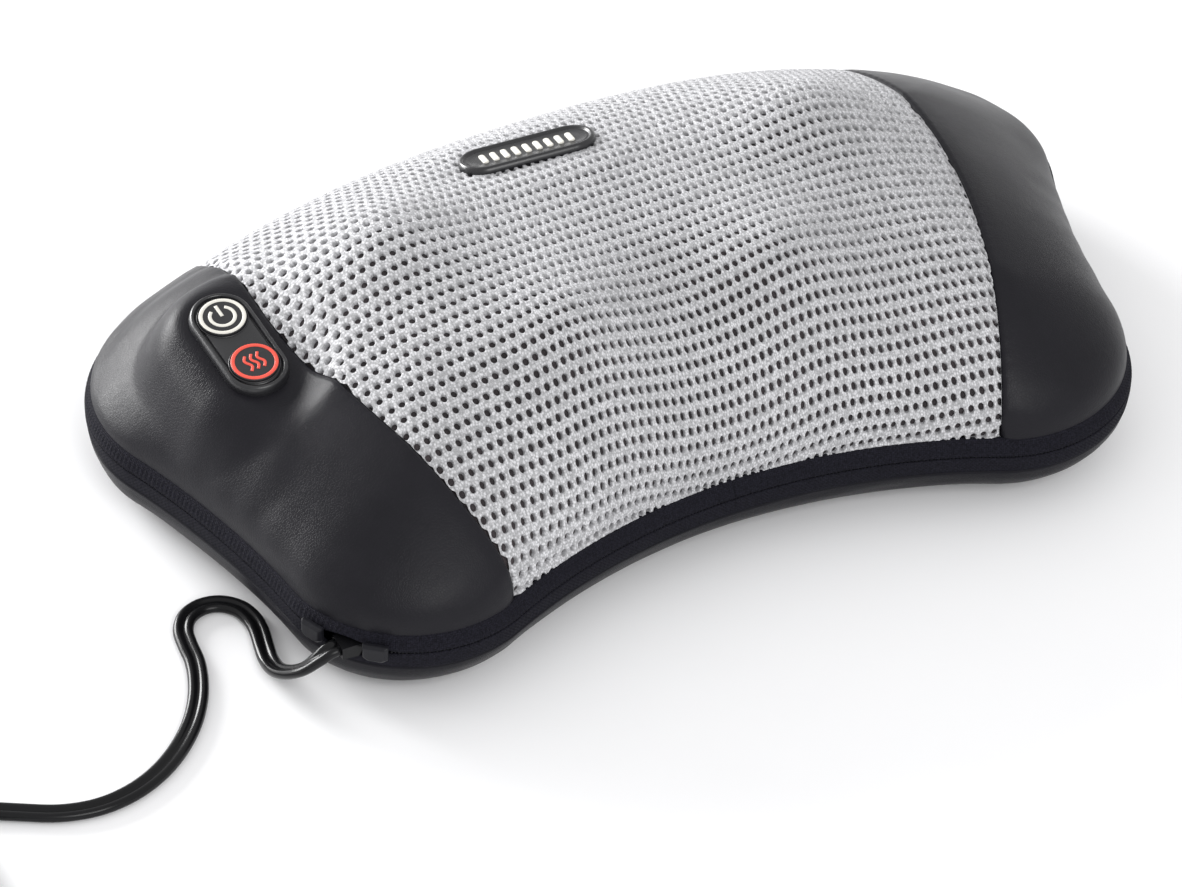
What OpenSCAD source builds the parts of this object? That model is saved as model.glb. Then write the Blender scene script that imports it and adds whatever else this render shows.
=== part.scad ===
// Shiatsu neck massager: a zipped pillow cover over a motor-driven four-node massage unit.
// Frame: +X along the pillow, +Y to its convex back edge, +Z up; origin under the middle of the pillow.

/* [Pillow outline] */
// Length from end to end
pillow_l = 330; // [324:1:340]
// Width from the front corners to the back edge
pillow_w = 194; // [190:1:200]
// Depth of the neck curve in the front edge
waist_depth = 23; // [20:1:26]
// Radius of the front corners
front_corner_r = 42.5; // [41:0.5:44]
// Distance of the front corner centres from the middle
front_corner_x = 101; // [99:1:103]
// Radius of the back corners
back_corner_r = 48; // [46:1:50]
// Distance of the back corner centres behind the middle
back_corner_y = 34; // [32:1:36]
// Radius of the hollow in each end
end_arc_r = 300; // [280:10:400]

/* [Cover] */
// Height of the zip line
zip_z = 24; // [23:0.5:26]
// Height of the cover's lower edge above the zip line
cover_rise = 5.5; // [5:0.5:7]
// How far the cover's lower edge is set in from the zip line
cover_inset = 2.5; // [2:0.5:3]
// Height of the dome above the cover's lower edge
dome_h = 52; // [50:1:56]
// Fall of the dome towards the ends
dome_end_drop = 9.5; // [8:0.5:11]
// Fall of the dome towards the front and back
dome_side_drop = 12; // [10:0.5:13]
// Lean of the dome towards the back
dome_lean = 5.5; // [4:0.5:7]
// Width of the rounded rim of the dome
dome_rim = 78; // [74:1:82]
// Height of each bulge over a massage node
bulge_h = 8; // [6:0.5:9]
// Radius of each bulge
bulge_r = 23; // [20:1:26]
// Thickness of the cover
cover_t = 2.4; // [2:0.1:2.6]
// Distance of the seams from the middle, at their widest
seam_x = 112.5; // [110:0.5:114]
// Radius of the curved seams
seam_r = 296; // [280:2:320]
// How far the flat base is set in from the zip line
base_inset = 24; // [22:1:26]
// How much less the base is set in at the ends
end_fullness = 6; // [4:1:7]
// How much more the base is set in along the neck curve
front_tuck = 5; // [3:1:6]

/* [Controls and badge] */
// Length of the control pad
pad_l = 43; // [42:0.5:45]
// Width of the control pad
pad_w = 20; // [20:0.5:21]
// Diameter of each button
button_d = 15; // [14:0.5:15]
// Distance between the buttons
button_pitch = 21; // [20:0.5:21.5]
// Travel of each button
button_travel = 0.8; // [0.6:0.1:1]
// Length of the badge
badge_l = 44; // [42:1:50]
// Width of the badge
badge_w = 16; // [14:1:18]

/* [Massage unit] */
// Distance of each head's axis from the middle
head_x = 55; // [55:0.5:56]
// Radius at which the nodes travel round the head's axis
orbit_r = 33; // [32:0.5:33.5]
// Radius of a massage node
node_r = 17.5; // [16:0.5:18]
// Height of the top of the massage nodes
node_top_z = 65; // [63:0.5:65.5]
// Direction of the right head's arm at rest
arm_angle = 60; // [50:5:70]
// Diameter of the motor
motor_d = 26; // [24:1:26]
// Length of the motor
motor_l = 46; // [40:1:48]

/* [Cord] */
// Width of the flat cord
cord_w = 6.4; // [6:0.1:6.4]
// Thickness of the flat cord
cord_t = 3.4; // [3:0.1:3.4]
// Mean radius of the stored coil
coil_r = 37.8; // [37:0.2:38]

/* [Hidden] */
eps = 0.01;

// ---- Outline: five arcs, tangent to each other, from the front middle to the back middle ----
front_y = -pillow_w / 2;
back_y = pillow_w / 2;
waist_y = front_y + waist_depth;
front_c = [front_corner_x, front_y + front_corner_r];
back_c = [pillow_l / 2 - back_corner_r, back_corner_y];
waist_k = front_c.y - waist_y;
waist_r = (front_c.x ^ 2 + waist_k ^ 2 - front_corner_r ^ 2) / (2 * (front_corner_r - waist_k));
waist_c = [0, waist_y - waist_r];
crest_k = back_y - back_c.y;
crest_r = (back_c.x ^ 2 + crest_k ^ 2 - back_corner_r ^ 2) / (2 * (crest_k - back_corner_r));
crest_c = [0, back_y - crest_r];
corner_gap = norm(back_c - front_c);
end_u = (back_c - front_c) / corner_gap;
end_t = ((end_arc_r + front_corner_r) ^ 2 - (end_arc_r + back_corner_r) ^ 2 + corner_gap ^ 2)
    / (2 * corner_gap);
end_h = sqrt((end_arc_r + front_corner_r) ^ 2 - end_t ^ 2);
end_c = front_c + end_u * end_t + [end_u.y, -end_u.x] * end_h;
function heading(v) = atan2(v.y, v.x);
// Each arc is [centre, radius, first angle, last angle, +1 for convex or -1 for hollow, steps].
ARCS = [
    [waist_c, waist_r, 90, heading(front_c - waist_c), -1, 7],
    [front_c, front_corner_r, heading(waist_c - front_c), heading(end_c - front_c), 1, 18],
    [end_c, end_arc_r, (heading(front_c - end_c) + 360) % 360, heading(back_c - end_c), -1, 5],
    [back_c, back_corner_r, heading(end_c - back_c), heading(back_c - crest_c), 1, 9],
    [crest_c, crest_r, heading(back_c - crest_c), 90, 1, 7]
];
function unit2(a) = [cos(a), sin(a)];
function arc_stations(arc) = [
    for (i = [0:arc[5] - 1])
        let (a = arc[2] + (arc[3] - arc[2]) * i / arc[5])
            [arc[0] + arc[1] * unit2(a), arc[4] * unit2(a)]
];
// Stations are [point, outward normal] pairs; the left half mirrors the right half.
half_stations = concat([for (arc = ARCS) each arc_stations(arc)], [[[0, back_y], [0, 1]]]);
half_count = len(half_stations);
function flip(v) = [-v.x, v.y];
stations = concat(
    half_stations,
    [for (i = [half_count - 2:-1:1]) [flip(half_stations[i][0]), flip(half_stations[i][1])]]
);
function inset_outline(inset) = [for (s = stations) s[0] - s[1] * inset];

// ---- Distance from the cover's lower edge, measured in plan ----
function wrap(a) = a - 360 * round(a / 360);
function arc_distance(arc, p) =
    let (
        v = p - arc[0],
        middle = (arc[2] + arc[3]) / 2,
        reach = abs(arc[3] - arc[2]) / 2 + 0.5,
        inner_r = arc[1] - arc[4] * cover_inset
    )
    abs(wrap(heading(v) - middle)) > reach ? 1000 : arc[4] * (inner_r - norm(v));
function edge_distance(x, y) = max(0, min([for (arc = ARCS) arc_distance(arc, [abs(x), y])]));

// ---- Height of the cover ----
cover_z = zip_z + cover_rise;
dome_mid_y = -9;
dome_x_scale = 105;
dome_y_scale = 70;
head_y = -6;
dome_twist = 3;
bulge_reach = orbit_r + 4;
rim_power = 2.7;
rim_root = 0.37;
function rim_shape(d) = pow(max(0, 1 - pow(1 - min(1, d / dome_rim), rim_power)), rim_root);
function dome_height(x, y) =
    let (u = abs(x / dome_x_scale) ^ 3, v = (y - dome_mid_y) / dome_y_scale)
    dome_h - dome_end_drop * u + dome_lean * v - dome_side_drop * v ^ 2 - dome_twist * v * u;
function node_places(side) = [
    for (turn = [0, 180])
        [side * (head_x + bulge_reach * cos(arm_angle + turn)), head_y + bulge_reach * sin(arm_angle + turn)]
];
BULGES = concat(node_places(-1), node_places(1));
function sum_of(list, i = 0) = i < len(list) ? list[i] + sum_of(list, i + 1) : 0;
function bulges(x, y) =
    bulge_h * sum_of([for (b = BULGES) exp(-((x - b.x) ^ 2 + (y - b.y) ^ 2) / bulge_r ^ 2)]);
function draped_z(x, y) = cover_z + rim_shape(edge_distance(x, y)) * (dome_height(x, y) + bulges(x, y));
function slope_normal(zs, step) =
    let (n = [(zs[0] - zs[1]) / (2 * step), (zs[2] - zs[3]) / (2 * step), 1])
    n / norm(n);
function draped_normal(x, y, h = 0.5) =
    slope_normal([draped_z(x - h, y), draped_z(x + h, y), draped_z(x, y - h), draped_z(x, y + h)], h);

// The cover is held flat under the control pad and the badge: [centre, half length, radius, direction].
PAD = [[-125.5, 14.4], (pad_l - pad_w) / 2, pad_w / 2, 93];
BADGE = [[-13, 45], (badge_l - badge_w) / 2, badge_w / 2, -6];
flat_sink = 0.5;
flat_band = 16;
// The plate behind the pad holds the cover up, nearly level.
pad_lift = 2.4;
pad_lean = 7;
pad_lean_way = 243;
function patch_distance(patch, x, y) =
    let (
        v = [x, y] - patch[0],
        along = v * unit2(patch[3]),
        across = v * unit2(patch[3] + 90)
    )
    norm([max(0, abs(along) - patch[1]), across]) - patch[2];
function patch_frame(patch, lift, normal) =
    let (c = patch[0])
    [[c.x, c.y, draped_z(c.x, c.y) + lift], normal];
pad_side = sin(pad_lean) * unit2(pad_lean_way);
PAD_FRAME = patch_frame(PAD, pad_lift, [pad_side.x, pad_side.y, cos(pad_lean)]);
BADGE_FRAME = patch_frame(BADGE, -flat_sink, draped_normal(BADGE[0].x, BADGE[0].y));
function smooth(t) = let (c = max(0, min(1, t))) c * c * (3 - 2 * c);
function plane_z(frame, x, y) =
    frame[0].z - (frame[1].x * (x - frame[0].x) + frame[1].y * (y - frame[0].y)) / frame[1].z;
function flattened(z, patch, frame, x, y) =
    let (w = 1 - smooth((patch_distance(patch, x, y) - 2) / flat_band))
    w <= 0 ? z : z + (plane_z(frame, x, y) - z) * w;
function surface_z(x, y) =
    flattened(flattened(draped_z(x, y), PAD, PAD_FRAME, x, y), BADGE, BADGE_FRAME, x, y);
function surface_normal(x, y, h = 0.5) =
    slope_normal([surface_z(x - h, y), surface_z(x + h, y), surface_z(x, y - h), surface_z(x, y + h)], h);
function on_surface(p) = [p.x, p.y, surface_z(p.x, p.y)];
// The inside of the cover, below a point of the plan.
function inside(p) = on_surface(p) - surface_normal(p.x, p.y) * cover_t;

// ---- Seams and the plan of each panel ----
seam_mid_y = 40;
seam_gap = 0.3;
function seam_at(y) = seam_x - seam_r + sqrt(seam_r ^ 2 - (y - seam_mid_y) ^ 2);
waist_edge_x = waist_c.x + (waist_r + cover_inset) * cos(heading(front_c - waist_c));
crest_edge_x = (crest_r - cover_inset) * cos(heading(back_c - crest_c));
function front_edge(x) =
    abs(x) < waist_edge_x ? waist_c.y + sqrt((waist_r + cover_inset) ^ 2 - x ^ 2)
    : front_c.y - sqrt((front_corner_r - cover_inset) ^ 2 - (abs(x) - front_c.x) ^ 2);
function back_edge(x) =
    abs(x) < crest_edge_x ? crest_c.y + sqrt((crest_r - cover_inset) ^ 2 - x ^ 2)
    : back_c.y + sqrt((back_corner_r - cover_inset) ^ 2 - (abs(x) - back_c.x) ^ 2);
function front_foot(u, y = -80, n = 4) = n == 0 ? y : front_foot(u, front_edge(u * seam_at(y)), n - 1);
function back_foot(u, y = 80, n = 4) = n == 0 ? y : back_foot(u, back_edge(u * seam_at(y)), n - 1);
mesh_columns = 34;
mesh_rows = 24;
end_columns = 13;
function eased(t) = (1 - cos(180 * t)) / 2;
function mesh_plan(u) =
    let (y0 = front_foot(u), y1 = back_foot(u))
    [for (j = [0:mesh_rows]) let (y = y0 + (y1 - y0) * eased(j / mesh_rows)) [u * seam_at(y), y]];
end_edge = concat(
    [[seam_at(front_foot(1)), front_foot(1)]],
    [for (s = half_stations) let (p = s[0] - s[1] * cover_inset) if (p.x > seam_at(p.y) + 3) p],
    [[seam_at(back_foot(1)), back_foot(1)]]
);
function end_plan(side, j) =
    let (
        last = len(end_edge) - 1,
        y = front_foot(1) + (back_foot(1) - front_foot(1)) * eased(j / last),
        a = [seam_at(y) + seam_gap, y],
        b = end_edge[j] + (j == 0 || j == last ? [seam_gap, 0] : [0, 0])
    )
    [for (i = [0:end_columns]) let (p = a + (b - a) * (1 - (1 - i / end_columns) ^ 1.5)) [side * p.x, p.y]];

// ---- Solids built from rows of points ----
function loop_faces(rows, count, row_step) = [
    for (i = [0:rows - 1], k = [0:count - 1])
        let (a = i * count, b = ((i + 1) % row_step) * count, n = (k + 1) % count)
            each [[a + k, b + n, b + k], [a + k, a + n, b + n]]
];
// A ring of closed sections that runs right round.
module ring_sweep(sections) {
    count = len(sections[0]);
    rows = len(sections);
    polyhedron(points = [for (s = sections) each s], faces = loop_faces(rows, count, rows));
}
// A cap over one section, as a strip between its first half and its second half.
function cap_faces(first, count, way) = [
    for (k = [0:count / 2 - 2])
        let (a = first + k, b = first + k + 1, c = first + count - 2 - k, d = first + count - 1 - k)
            each way > 0 ? [[a, b, c], [a, c, d]] : [[a, c, b], [a, d, c]]
];
// A run of closed sections with a cap at each end.
module open_sweep(sections) {
    count = len(sections[0]);
    rows = len(sections);
    polyhedron(
        points = [for (s = sections) each s],
        faces = concat(
            loop_faces(rows - 1, count, rows),
            cap_faces(0, count, -1),
            cap_faces((rows - 1) * count, count, 1)
        )
    );
}
// A sheet from a grid of plan points: each row becomes a closed section, outside then inside.
module cover_sheet(grid, mirrored) {
    sections = [for (row = grid) concat(
        [for (p = row) on_surface(p)],
        [for (k = [len(row) - 1:-1:0]) inside(row[k])]
    )];
    open_sweep(mirrored ? [for (i = [len(sections) - 1:-1:0]) sections[i]] : sections);
}

// ---- Cover panels ----
module mesh_panel() color("lightgrey")
    cover_sheet([for (i = [0:mesh_columns]) mesh_plan(2 * i / mesh_columns - 1)], false);
module end_panel(side) color([0.13, 0.13, 0.14])
    cover_sheet([for (j = [0:len(end_edge) - 1]) end_plan(side, j)], side > 0);
module left_end_panel() end_panel(-1);
module right_end_panel() end_panel(1);

// ---- Zip and lower shell ----
exit_angle = 217;
exit_half_angle = 13;
zip_gap = 0.9;
tape_t = 1.2;
// How far the zip stands open at the cord: the upper tape up, the lower tape down.
exit_up = 2.2;
exit_down = 3.6;
exit_reach = 12;
coil_wire_r = 0.7;
zip_line_inset = 0.3;
tape_foot_z = 18;
tape_foot_inset = 0.8;
function corner_angle(s) = s[0].x < 0 && s[0].y < front_c.y + exit_reach ? (heading(s[1]) + 360) % 360 : 0;
function exit_spread(s) = exp(-((corner_angle(s) - exit_angle) / exit_half_angle) ^ 2);
function at(s, inset, z) = [s[0].x - s[1].x * inset, s[0].y - s[1].y * inset, z];
module upper_zip_tape() color([0.1, 0.1, 0.13]) ring_sweep([for (s = stations)
    let (low = zip_z + zip_gap + exit_up * exit_spread(s), top = cover_z - 0.4)
    [
        at(s, zip_line_inset, low), at(s, cover_inset, top),
        at(s, cover_inset + tape_t, top), at(s, zip_line_inset + tape_t, low)
    ]
]);
module lower_zip_tape() color([0.1, 0.1, 0.13]) ring_sweep([for (s = stations)
    let (top = zip_z - zip_gap - exit_down * exit_spread(s))
    [
        at(s, tape_foot_inset, tape_foot_z), at(s, 0, top),
        at(s, tape_t, top), at(s, tape_foot_inset + tape_t, tape_foot_z)
    ]
]);
slider_angles = [203, 231];
gap_at = [for (i = [0:len(stations) - 1])
    let (a = corner_angle(stations[i])) if (a > slider_angles[0] && a < slider_angles[1]) i];
zip_count = len(stations) - len(gap_at);
module zip_coil() color([0.07, 0.07, 0.08]) open_sweep([for (k = [0:zip_count - 1])
    let (s = stations[(max(gap_at) + 1 + k) % len(stations)])
    [for (a = [0:60:300]) at(s, 1 - coil_wire_r * cos(a), zip_z + coil_wire_r * sin(a))]
]);
shell_t = 2.4;
shell_steps = 6;
shell_curl = 0.91;
shell_floor_share = 0.6;
shell_top_z = tape_foot_z - 0.2;
base_t = 2;
// The side of the shell curls under to the flat base on a super-ellipse.
function base_set(s) = base_inset - end_fullness * s[1].x ^ 2 + front_tuck * max(0, -s[1].y) ^ 2;
function shell_inset(s, a) = base_set(s) * (1 - pow(cos(a), shell_curl));
function shell_z(a) = zip_z * (1 - pow(sin(a), shell_curl));
shell_first = 13;
shell_last = 74;
module lower_shell() color([0.12, 0.12, 0.13]) ring_sweep([for (s = stations)
    let (angles = [for (i = [0:shell_steps]) shell_first + (shell_last - shell_first) * i / shell_steps])
    concat(
        [for (i = [shell_steps:-1:0])
            at(s, shell_inset(s, angles[i]), i == 0 ? shell_top_z : shell_z(angles[i]))],
        [for (i = [0:shell_steps])
            let (z = i == 0 ? shell_top_z : shell_z(angles[i]) + shell_t * shell_floor_share)
            at(s, shell_inset(s, angles[i]) + shell_t, z)]
    )
]);
base_lip = 0.4;
module base_panel() color([0.14, 0.14, 0.15]) linear_extrude(base_t)
    polygon([for (s = stations) s[0] - s[1] * (shell_inset(s, shell_last) + shell_t + base_lip)]);
slider_l = 8;
slider_h = 6;
slider_t = 2.2;
slider_clear = 0.5;
module zip_slider(angle) {
    out = front_corner_r + slider_clear;
    translate([-front_c.x, front_c.y, zip_z]) rotate(angle) translate([out, 0, 0]) rotate([90, 0, 90])
        color([0.09, 0.09, 0.1]) linear_extrude(slider_t)
            polygon([for (p = [[-0.5, -0.3], [-0.3, -0.5], [0.3, -0.5], [0.5, -0.3], [0.5, 0.5], [-0.5, 0.5]])
                [p.x * slider_l, p.y * slider_h + 0.5]]);
}
module left_zip_slider() zip_slider(slider_angles[0]);
module front_zip_slider() zip_slider(slider_angles[1]);

// ---- Control pad, buttons and badge, each in the frame of its flat patch ----
module on_patch(patch, frame) {
    n = frame[1];
    lean = acos(n.z);
    way = atan2(n.y, n.x);
    translate(frame[0]) rotate([0, lean, way]) rotate(patch[3] - way) children();
}
module stadium(length, width) {
    run = (length - width) / 2;
    square([2 * run, width], center = true);
    for (side = [-1, 1]) translate([side * run, 0]) circle(d = width, $fn = 48);
}
pad_t = 3;
pad_floor = 1.2;
pad_rim = 0.6;
rim_w = 2;
button_clear = 0.1;
button_t = 2;
dome_switch_r = 2.8;
button_low = pad_floor + 0.1 + button_travel;
module at_button(side) translate([side * button_pitch / 2, 0, 0]) children();
module control_pad() on_patch(PAD, PAD_FRAME) color([0.08, 0.08, 0.09]) difference() {
    union() {
        translate([0, 0, 0.05]) linear_extrude(pad_t) stadium(pad_l, pad_w);
        translate([0, 0, 0.05]) linear_extrude(pad_t + pad_rim) difference() {
            stadium(pad_l, pad_w);
            stadium(pad_l - 2 * rim_w, pad_w - 2 * rim_w);
        }
    }
    for (side = [-1, 1]) at_button(side)
        translate([0, 0, pad_floor]) cylinder(d = button_d + 2 * button_clear, h = pad_t + 2, $fn = 64);
}
module button(side) on_patch(PAD, PAD_FRAME) at_button(side) difference() {
    translate([0, 0, button_low]) cylinder(d = button_d, h = button_t, $fn = 64);
    translate([0, 0, button_low - eps]) cylinder(r = 3.5, h = 0.9, $fn = 32);
}
module power_button() color("gainsboro") button(1);
module heat_button() color("tomato") button(-1);
module switch_domes() on_patch(PAD, PAD_FRAME) color("silver")
    for (side = [-1, 1]) at_button(side)
        translate([0, 0, pad_floor]) cylinder(r = dome_switch_r, h = 0.5, $fn = 32);
badge_t = 1.6;
badge_rim_w = 1.5;
module badge() on_patch(BADGE, BADGE_FRAME) color([0.07, 0.07, 0.08]) translate([0, 0, 0.05]) {
    linear_extrude(badge_t) stadium(badge_l, badge_w);
    linear_extrude(badge_t + pad_rim) difference() {
        stadium(badge_l, badge_w);
        stadium(badge_l - 2 * badge_rim_w, badge_w - 2 * badge_rim_w);
    }
}

// ---- Gear train: one worm turns two drive gears, and their pinions turn the heads opposite ways ----
// The tooth counts and modules fit only each other.
head_teeth = 48;
pinion_teeth = 12;
gear_module = 1.25;
wheel_teeth = 40;
worm_module = 0.8;
mesh_clear = 0.12;
worm_r = 4.2;
wheel_r = wheel_teeth * worm_module / 2;
wheel_x = wheel_r + worm_r + mesh_clear;
head_gear_r = head_teeth * gear_module / 2;
pinion_r = pinion_teeth * gear_module / 2;
gear_span = head_gear_r + pinion_r + mesh_clear;
wheel_y = head_y - sqrt(gear_span ^ 2 - (head_x - wheel_x) ^ 2);
mesh_heading = atan2(wheel_y - head_y, wheel_x - head_x);
worm_z = 27;
wheel_t = 6;
wheel_collar_z = 22.3;
pinion_z = [29, 40.5];
head_gear_z = [33.5, 39.5];
gear_spindle_r = 2;
wheel_collar_r = 5;
head_spindle_r = 4;
run_clear = 0.04;
backlash = 0.18;
// Half of a straight-flanked tooth, root to tip: [modules above the pitch circle, share of the half
// thickness, modules added to it].
FLANK = [[-1.1, 1.34, 0.05], [-0.35, 1, 0], [0.85, 0.66, 0]];
function flank_point(r, m, a, p, side) =
    let (half = (m * PI / 4 - backlash) * p[1] + m * p[2])
    (r + m * p[0]) * unit2(a + side * 180 / PI * half / r);
module gear_profile(teeth, m)
    polygon([for (i = [0:teeth - 1], side = [-1, 1], k = [0:2])
        flank_point(teeth * m / 2, m, 360 * i / teeth, FLANK[side < 0 ? k : 2 - k], side)]);
module at_wheel(side) translate([side * wheel_x, wheel_y, 0]) children();
module at_head(side) translate([side * head_x, head_y, 0]) children();
// side is +1 on the right and -1 on the left.
module drive_gear(side) {
    wheel_phase = side > 0 ? 0 : 180 / wheel_teeth;
    to_head = side > 0 ? mesh_heading + 180 : -mesh_heading;
    at_wheel(side) difference() {
        union() {
            translate([0, 0, worm_z - wheel_t / 2]) rotate(wheel_phase)
                linear_extrude(wheel_t) gear_profile(wheel_teeth, worm_module);
            translate([0, 0, pinion_z[0]]) rotate(to_head + 180 / pinion_teeth)
                linear_extrude(pinion_z[1] - pinion_z[0]) gear_profile(pinion_teeth, gear_module);
            translate([0, 0, wheel_collar_z]) cylinder(r = wheel_collar_r, h = 2, $fn = 32);
        }
        cylinder(r = gear_spindle_r + run_clear, h = 60, $fn = 48);
    }
}
module left_drive_gear() color("ivory") drive_gear(-1);
module right_drive_gear() color("ivory") drive_gear(1);
hub_r = 10;
hub_top = 44.6;
hex_r = 7.5;
arm_t = 4;
module head_gear(side) {
    to_wheel = side > 0 ? mesh_heading : 180 - mesh_heading;
    at_head(side) difference() {
        union() {
            translate([0, 0, head_gear_z[0]]) rotate(to_wheel)
                linear_extrude(head_gear_z[1] - head_gear_z[0]) gear_profile(head_teeth, gear_module);
            translate([0, 0, head_gear_z[0]]) cylinder(r = hub_r, h = hub_top - head_gear_z[0], $fn = 64);
            translate([0, 0, hub_top]) cylinder(r = hex_r, h = arm_t - 0.2, $fn = 6);
        }
        cylinder(r = head_spindle_r + run_clear, h = 60, $fn = 48);
    }
}
module left_head_gear() color("ivory") head_gear(-1);
module right_head_gear() color("ivory") head_gear(1);
pin_r = 3;
pin_boss_r = 9;
arm_z = hub_top + 0.02;
node_low_z = arm_z + arm_t + 0.6;
function pin_place(side, turn) = orbit_r * [side * cos(arm_angle + turn), sin(arm_angle + turn)];
module head_arm(side) at_head(side) translate([0, 0, arm_z]) linear_extrude(arm_t) difference() {
    union() {
        circle(r = 13, $fn = 64);
        rotate(heading(pin_place(side, 0))) square([2 * orbit_r, 14], center = true);
        for (turn = [0, 180]) translate(pin_place(side, turn)) circle(r = pin_boss_r, $fn = 48);
    }
    circle(r = hex_r + 0.1, $fn = 6);
    for (turn = [0, 180]) translate(pin_place(side, turn)) circle(r = pin_r, $fn = 48);
}
module left_head_arm() color("dimgray") head_arm(-1);
module right_head_arm() color("dimgray") head_arm(1);
pin_head_z = node_top_z - 6;
module node_pins(side) at_head(side) for (turn = [0, 180]) translate(pin_place(side, turn)) {
    translate([0, 0, arm_z]) cylinder(r = pin_r, h = pin_head_z - arm_z, $fn = 48);
    translate([0, 0, pin_head_z]) cylinder(r = 6, h = 2, $fn = 48);
    translate([0, 0, arm_z + arm_t]) cylinder(r = 5, h = 0.5, $fn = 48);
}
module left_node_pins() color("silver") node_pins(-1);
module right_node_pins() color("silver") node_pins(1);
node_h = node_top_z - node_low_z;
module massage_node(side, turn) at_head(side) translate(pin_place(side, turn)) color([0.25, 0.25, 0.27])
    difference() {
        translate([0, 0, node_low_z]) rotate_extrude($fn = 72) intersection() {
            square([node_r, node_h]);
            union() {
                translate([node_r - node_h / 2, node_h / 2]) circle(d = node_h, $fn = 48);
                square([node_r - node_h / 2, node_h]);
            }
        }
        cylinder(r = pin_r + run_clear, h = 100, $fn = 48);
        translate([0, 0, pin_head_z - 0.3]) cylinder(r = 6.5, h = 20, $fn = 48);
    }
module left_back_node() massage_node(-1, 0);
module left_front_node() massage_node(-1, 180);
module right_back_node() massage_node(1, 0);
module right_front_node() massage_node(1, 180);

// ---- Motor, worm and shaft, along Y at the worm's height ----
motor_y = -1;
shaft_l = 70;
motor_r = motor_d / 2;
shaft_r = 1.15;
shaft_end_y = -38;
worm_l = 15;
worm_turns = worm_l / (PI * worm_module);
thread_steps = 11;
// Cross-section of a one-start thread: heading and radius round the worm.
THREAD = [
    [-180, -1], [-150, -1], [-120, -1], [-78, -1], [-34, 1], [-12, 1], [12, 1], [34, 1],
    [78, -1], [120, -1], [150, -1]
];
module along_y(y) translate([0, y, worm_z]) rotate([-90, 0, 0]) children();
module worm() color("goldenrod") along_y(wheel_y - worm_l / 2) difference() {
    // The middle of the worm carries the thread's crest on the left drive gear's side.
    rotate(180 - 180 * worm_turns)
        linear_extrude(worm_l, twist = -360 * worm_turns, slices = ceil(worm_turns * thread_steps))
            polygon([for (p = THREAD) (worm_r + worm_module * (p[1] > 0 ? 0.8 : -1.1)) * unit2(p[0])]);
    translate([0, 0, -1]) cylinder(r = shaft_r + 0.01, h = worm_l + 2, $fn = 32);
}
module motor_shaft() color("silver") along_y(shaft_end_y) cylinder(r = shaft_r, h = shaft_l, $fn = 48);
module motor() color("gray") difference() {
    union() {
        along_y(motor_y) cylinder(r = motor_r, h = motor_l, $fn = 96);
        along_y(motor_y - 2.5) cylinder(r = 4, h = 3, $fn = 48);
        along_y(motor_y + motor_l) cylinder(r = 5, h = 2, $fn = 48);
        for (side = [-1, 1]) translate([side * 8 - 1, motor_y + motor_l, worm_z - 2]) cube([2, 3, 4]);
    }
    along_y(motor_y - 3)
        cylinder(r = shaft_r + run_clear, h = shaft_l - (motor_y - shaft_end_y) + 4, $fn = 48);
}
floor_z = 9;
floor_t = 2.5;
casing_floor = floor_z + floor_t;
strap_t = 1.2;
strap_y = [14, 26];
strap_w = strap_y[1] - strap_y[0];
motor_clear = 0.03;
module motor_clamp() color("silver") difference() {
    union() {
        along_y(strap_y[0]) cylinder(r = motor_r + strap_t, h = strap_w, $fn = 96);
        translate([-motor_r - 7, strap_y[0], casing_floor]) cube([2 * motor_r + 14, strap_w, 2]);
        for (side = [-1, 1])
            translate([side * (motor_r + strap_t / 2) - strap_t / 2, strap_y[0], casing_floor])
                cube([strap_t, strap_w, worm_z - casing_floor]);
    }
    along_y(strap_y[0] - 1) cylinder(r = motor_r + motor_clear, h = strap_w + 2, $fn = 96);
    translate([-motor_r - motor_clear, strap_y[0] - 1, casing_floor - 1])
        cube([2 * (motor_r + motor_clear), strap_w + 2, worm_z - casing_floor + 1]);
}
bearing_y = [-35, -31];
module shaft_bearing() color("tan") difference() {
    translate([-5, bearing_y[0], casing_floor])
        cube([10, bearing_y[1] - bearing_y[0], worm_z + 5 - casing_floor]);
    along_y(bearing_y[0] - 1) cylinder(r = shaft_r + run_clear, h = 6, $fn = 48);
}

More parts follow.
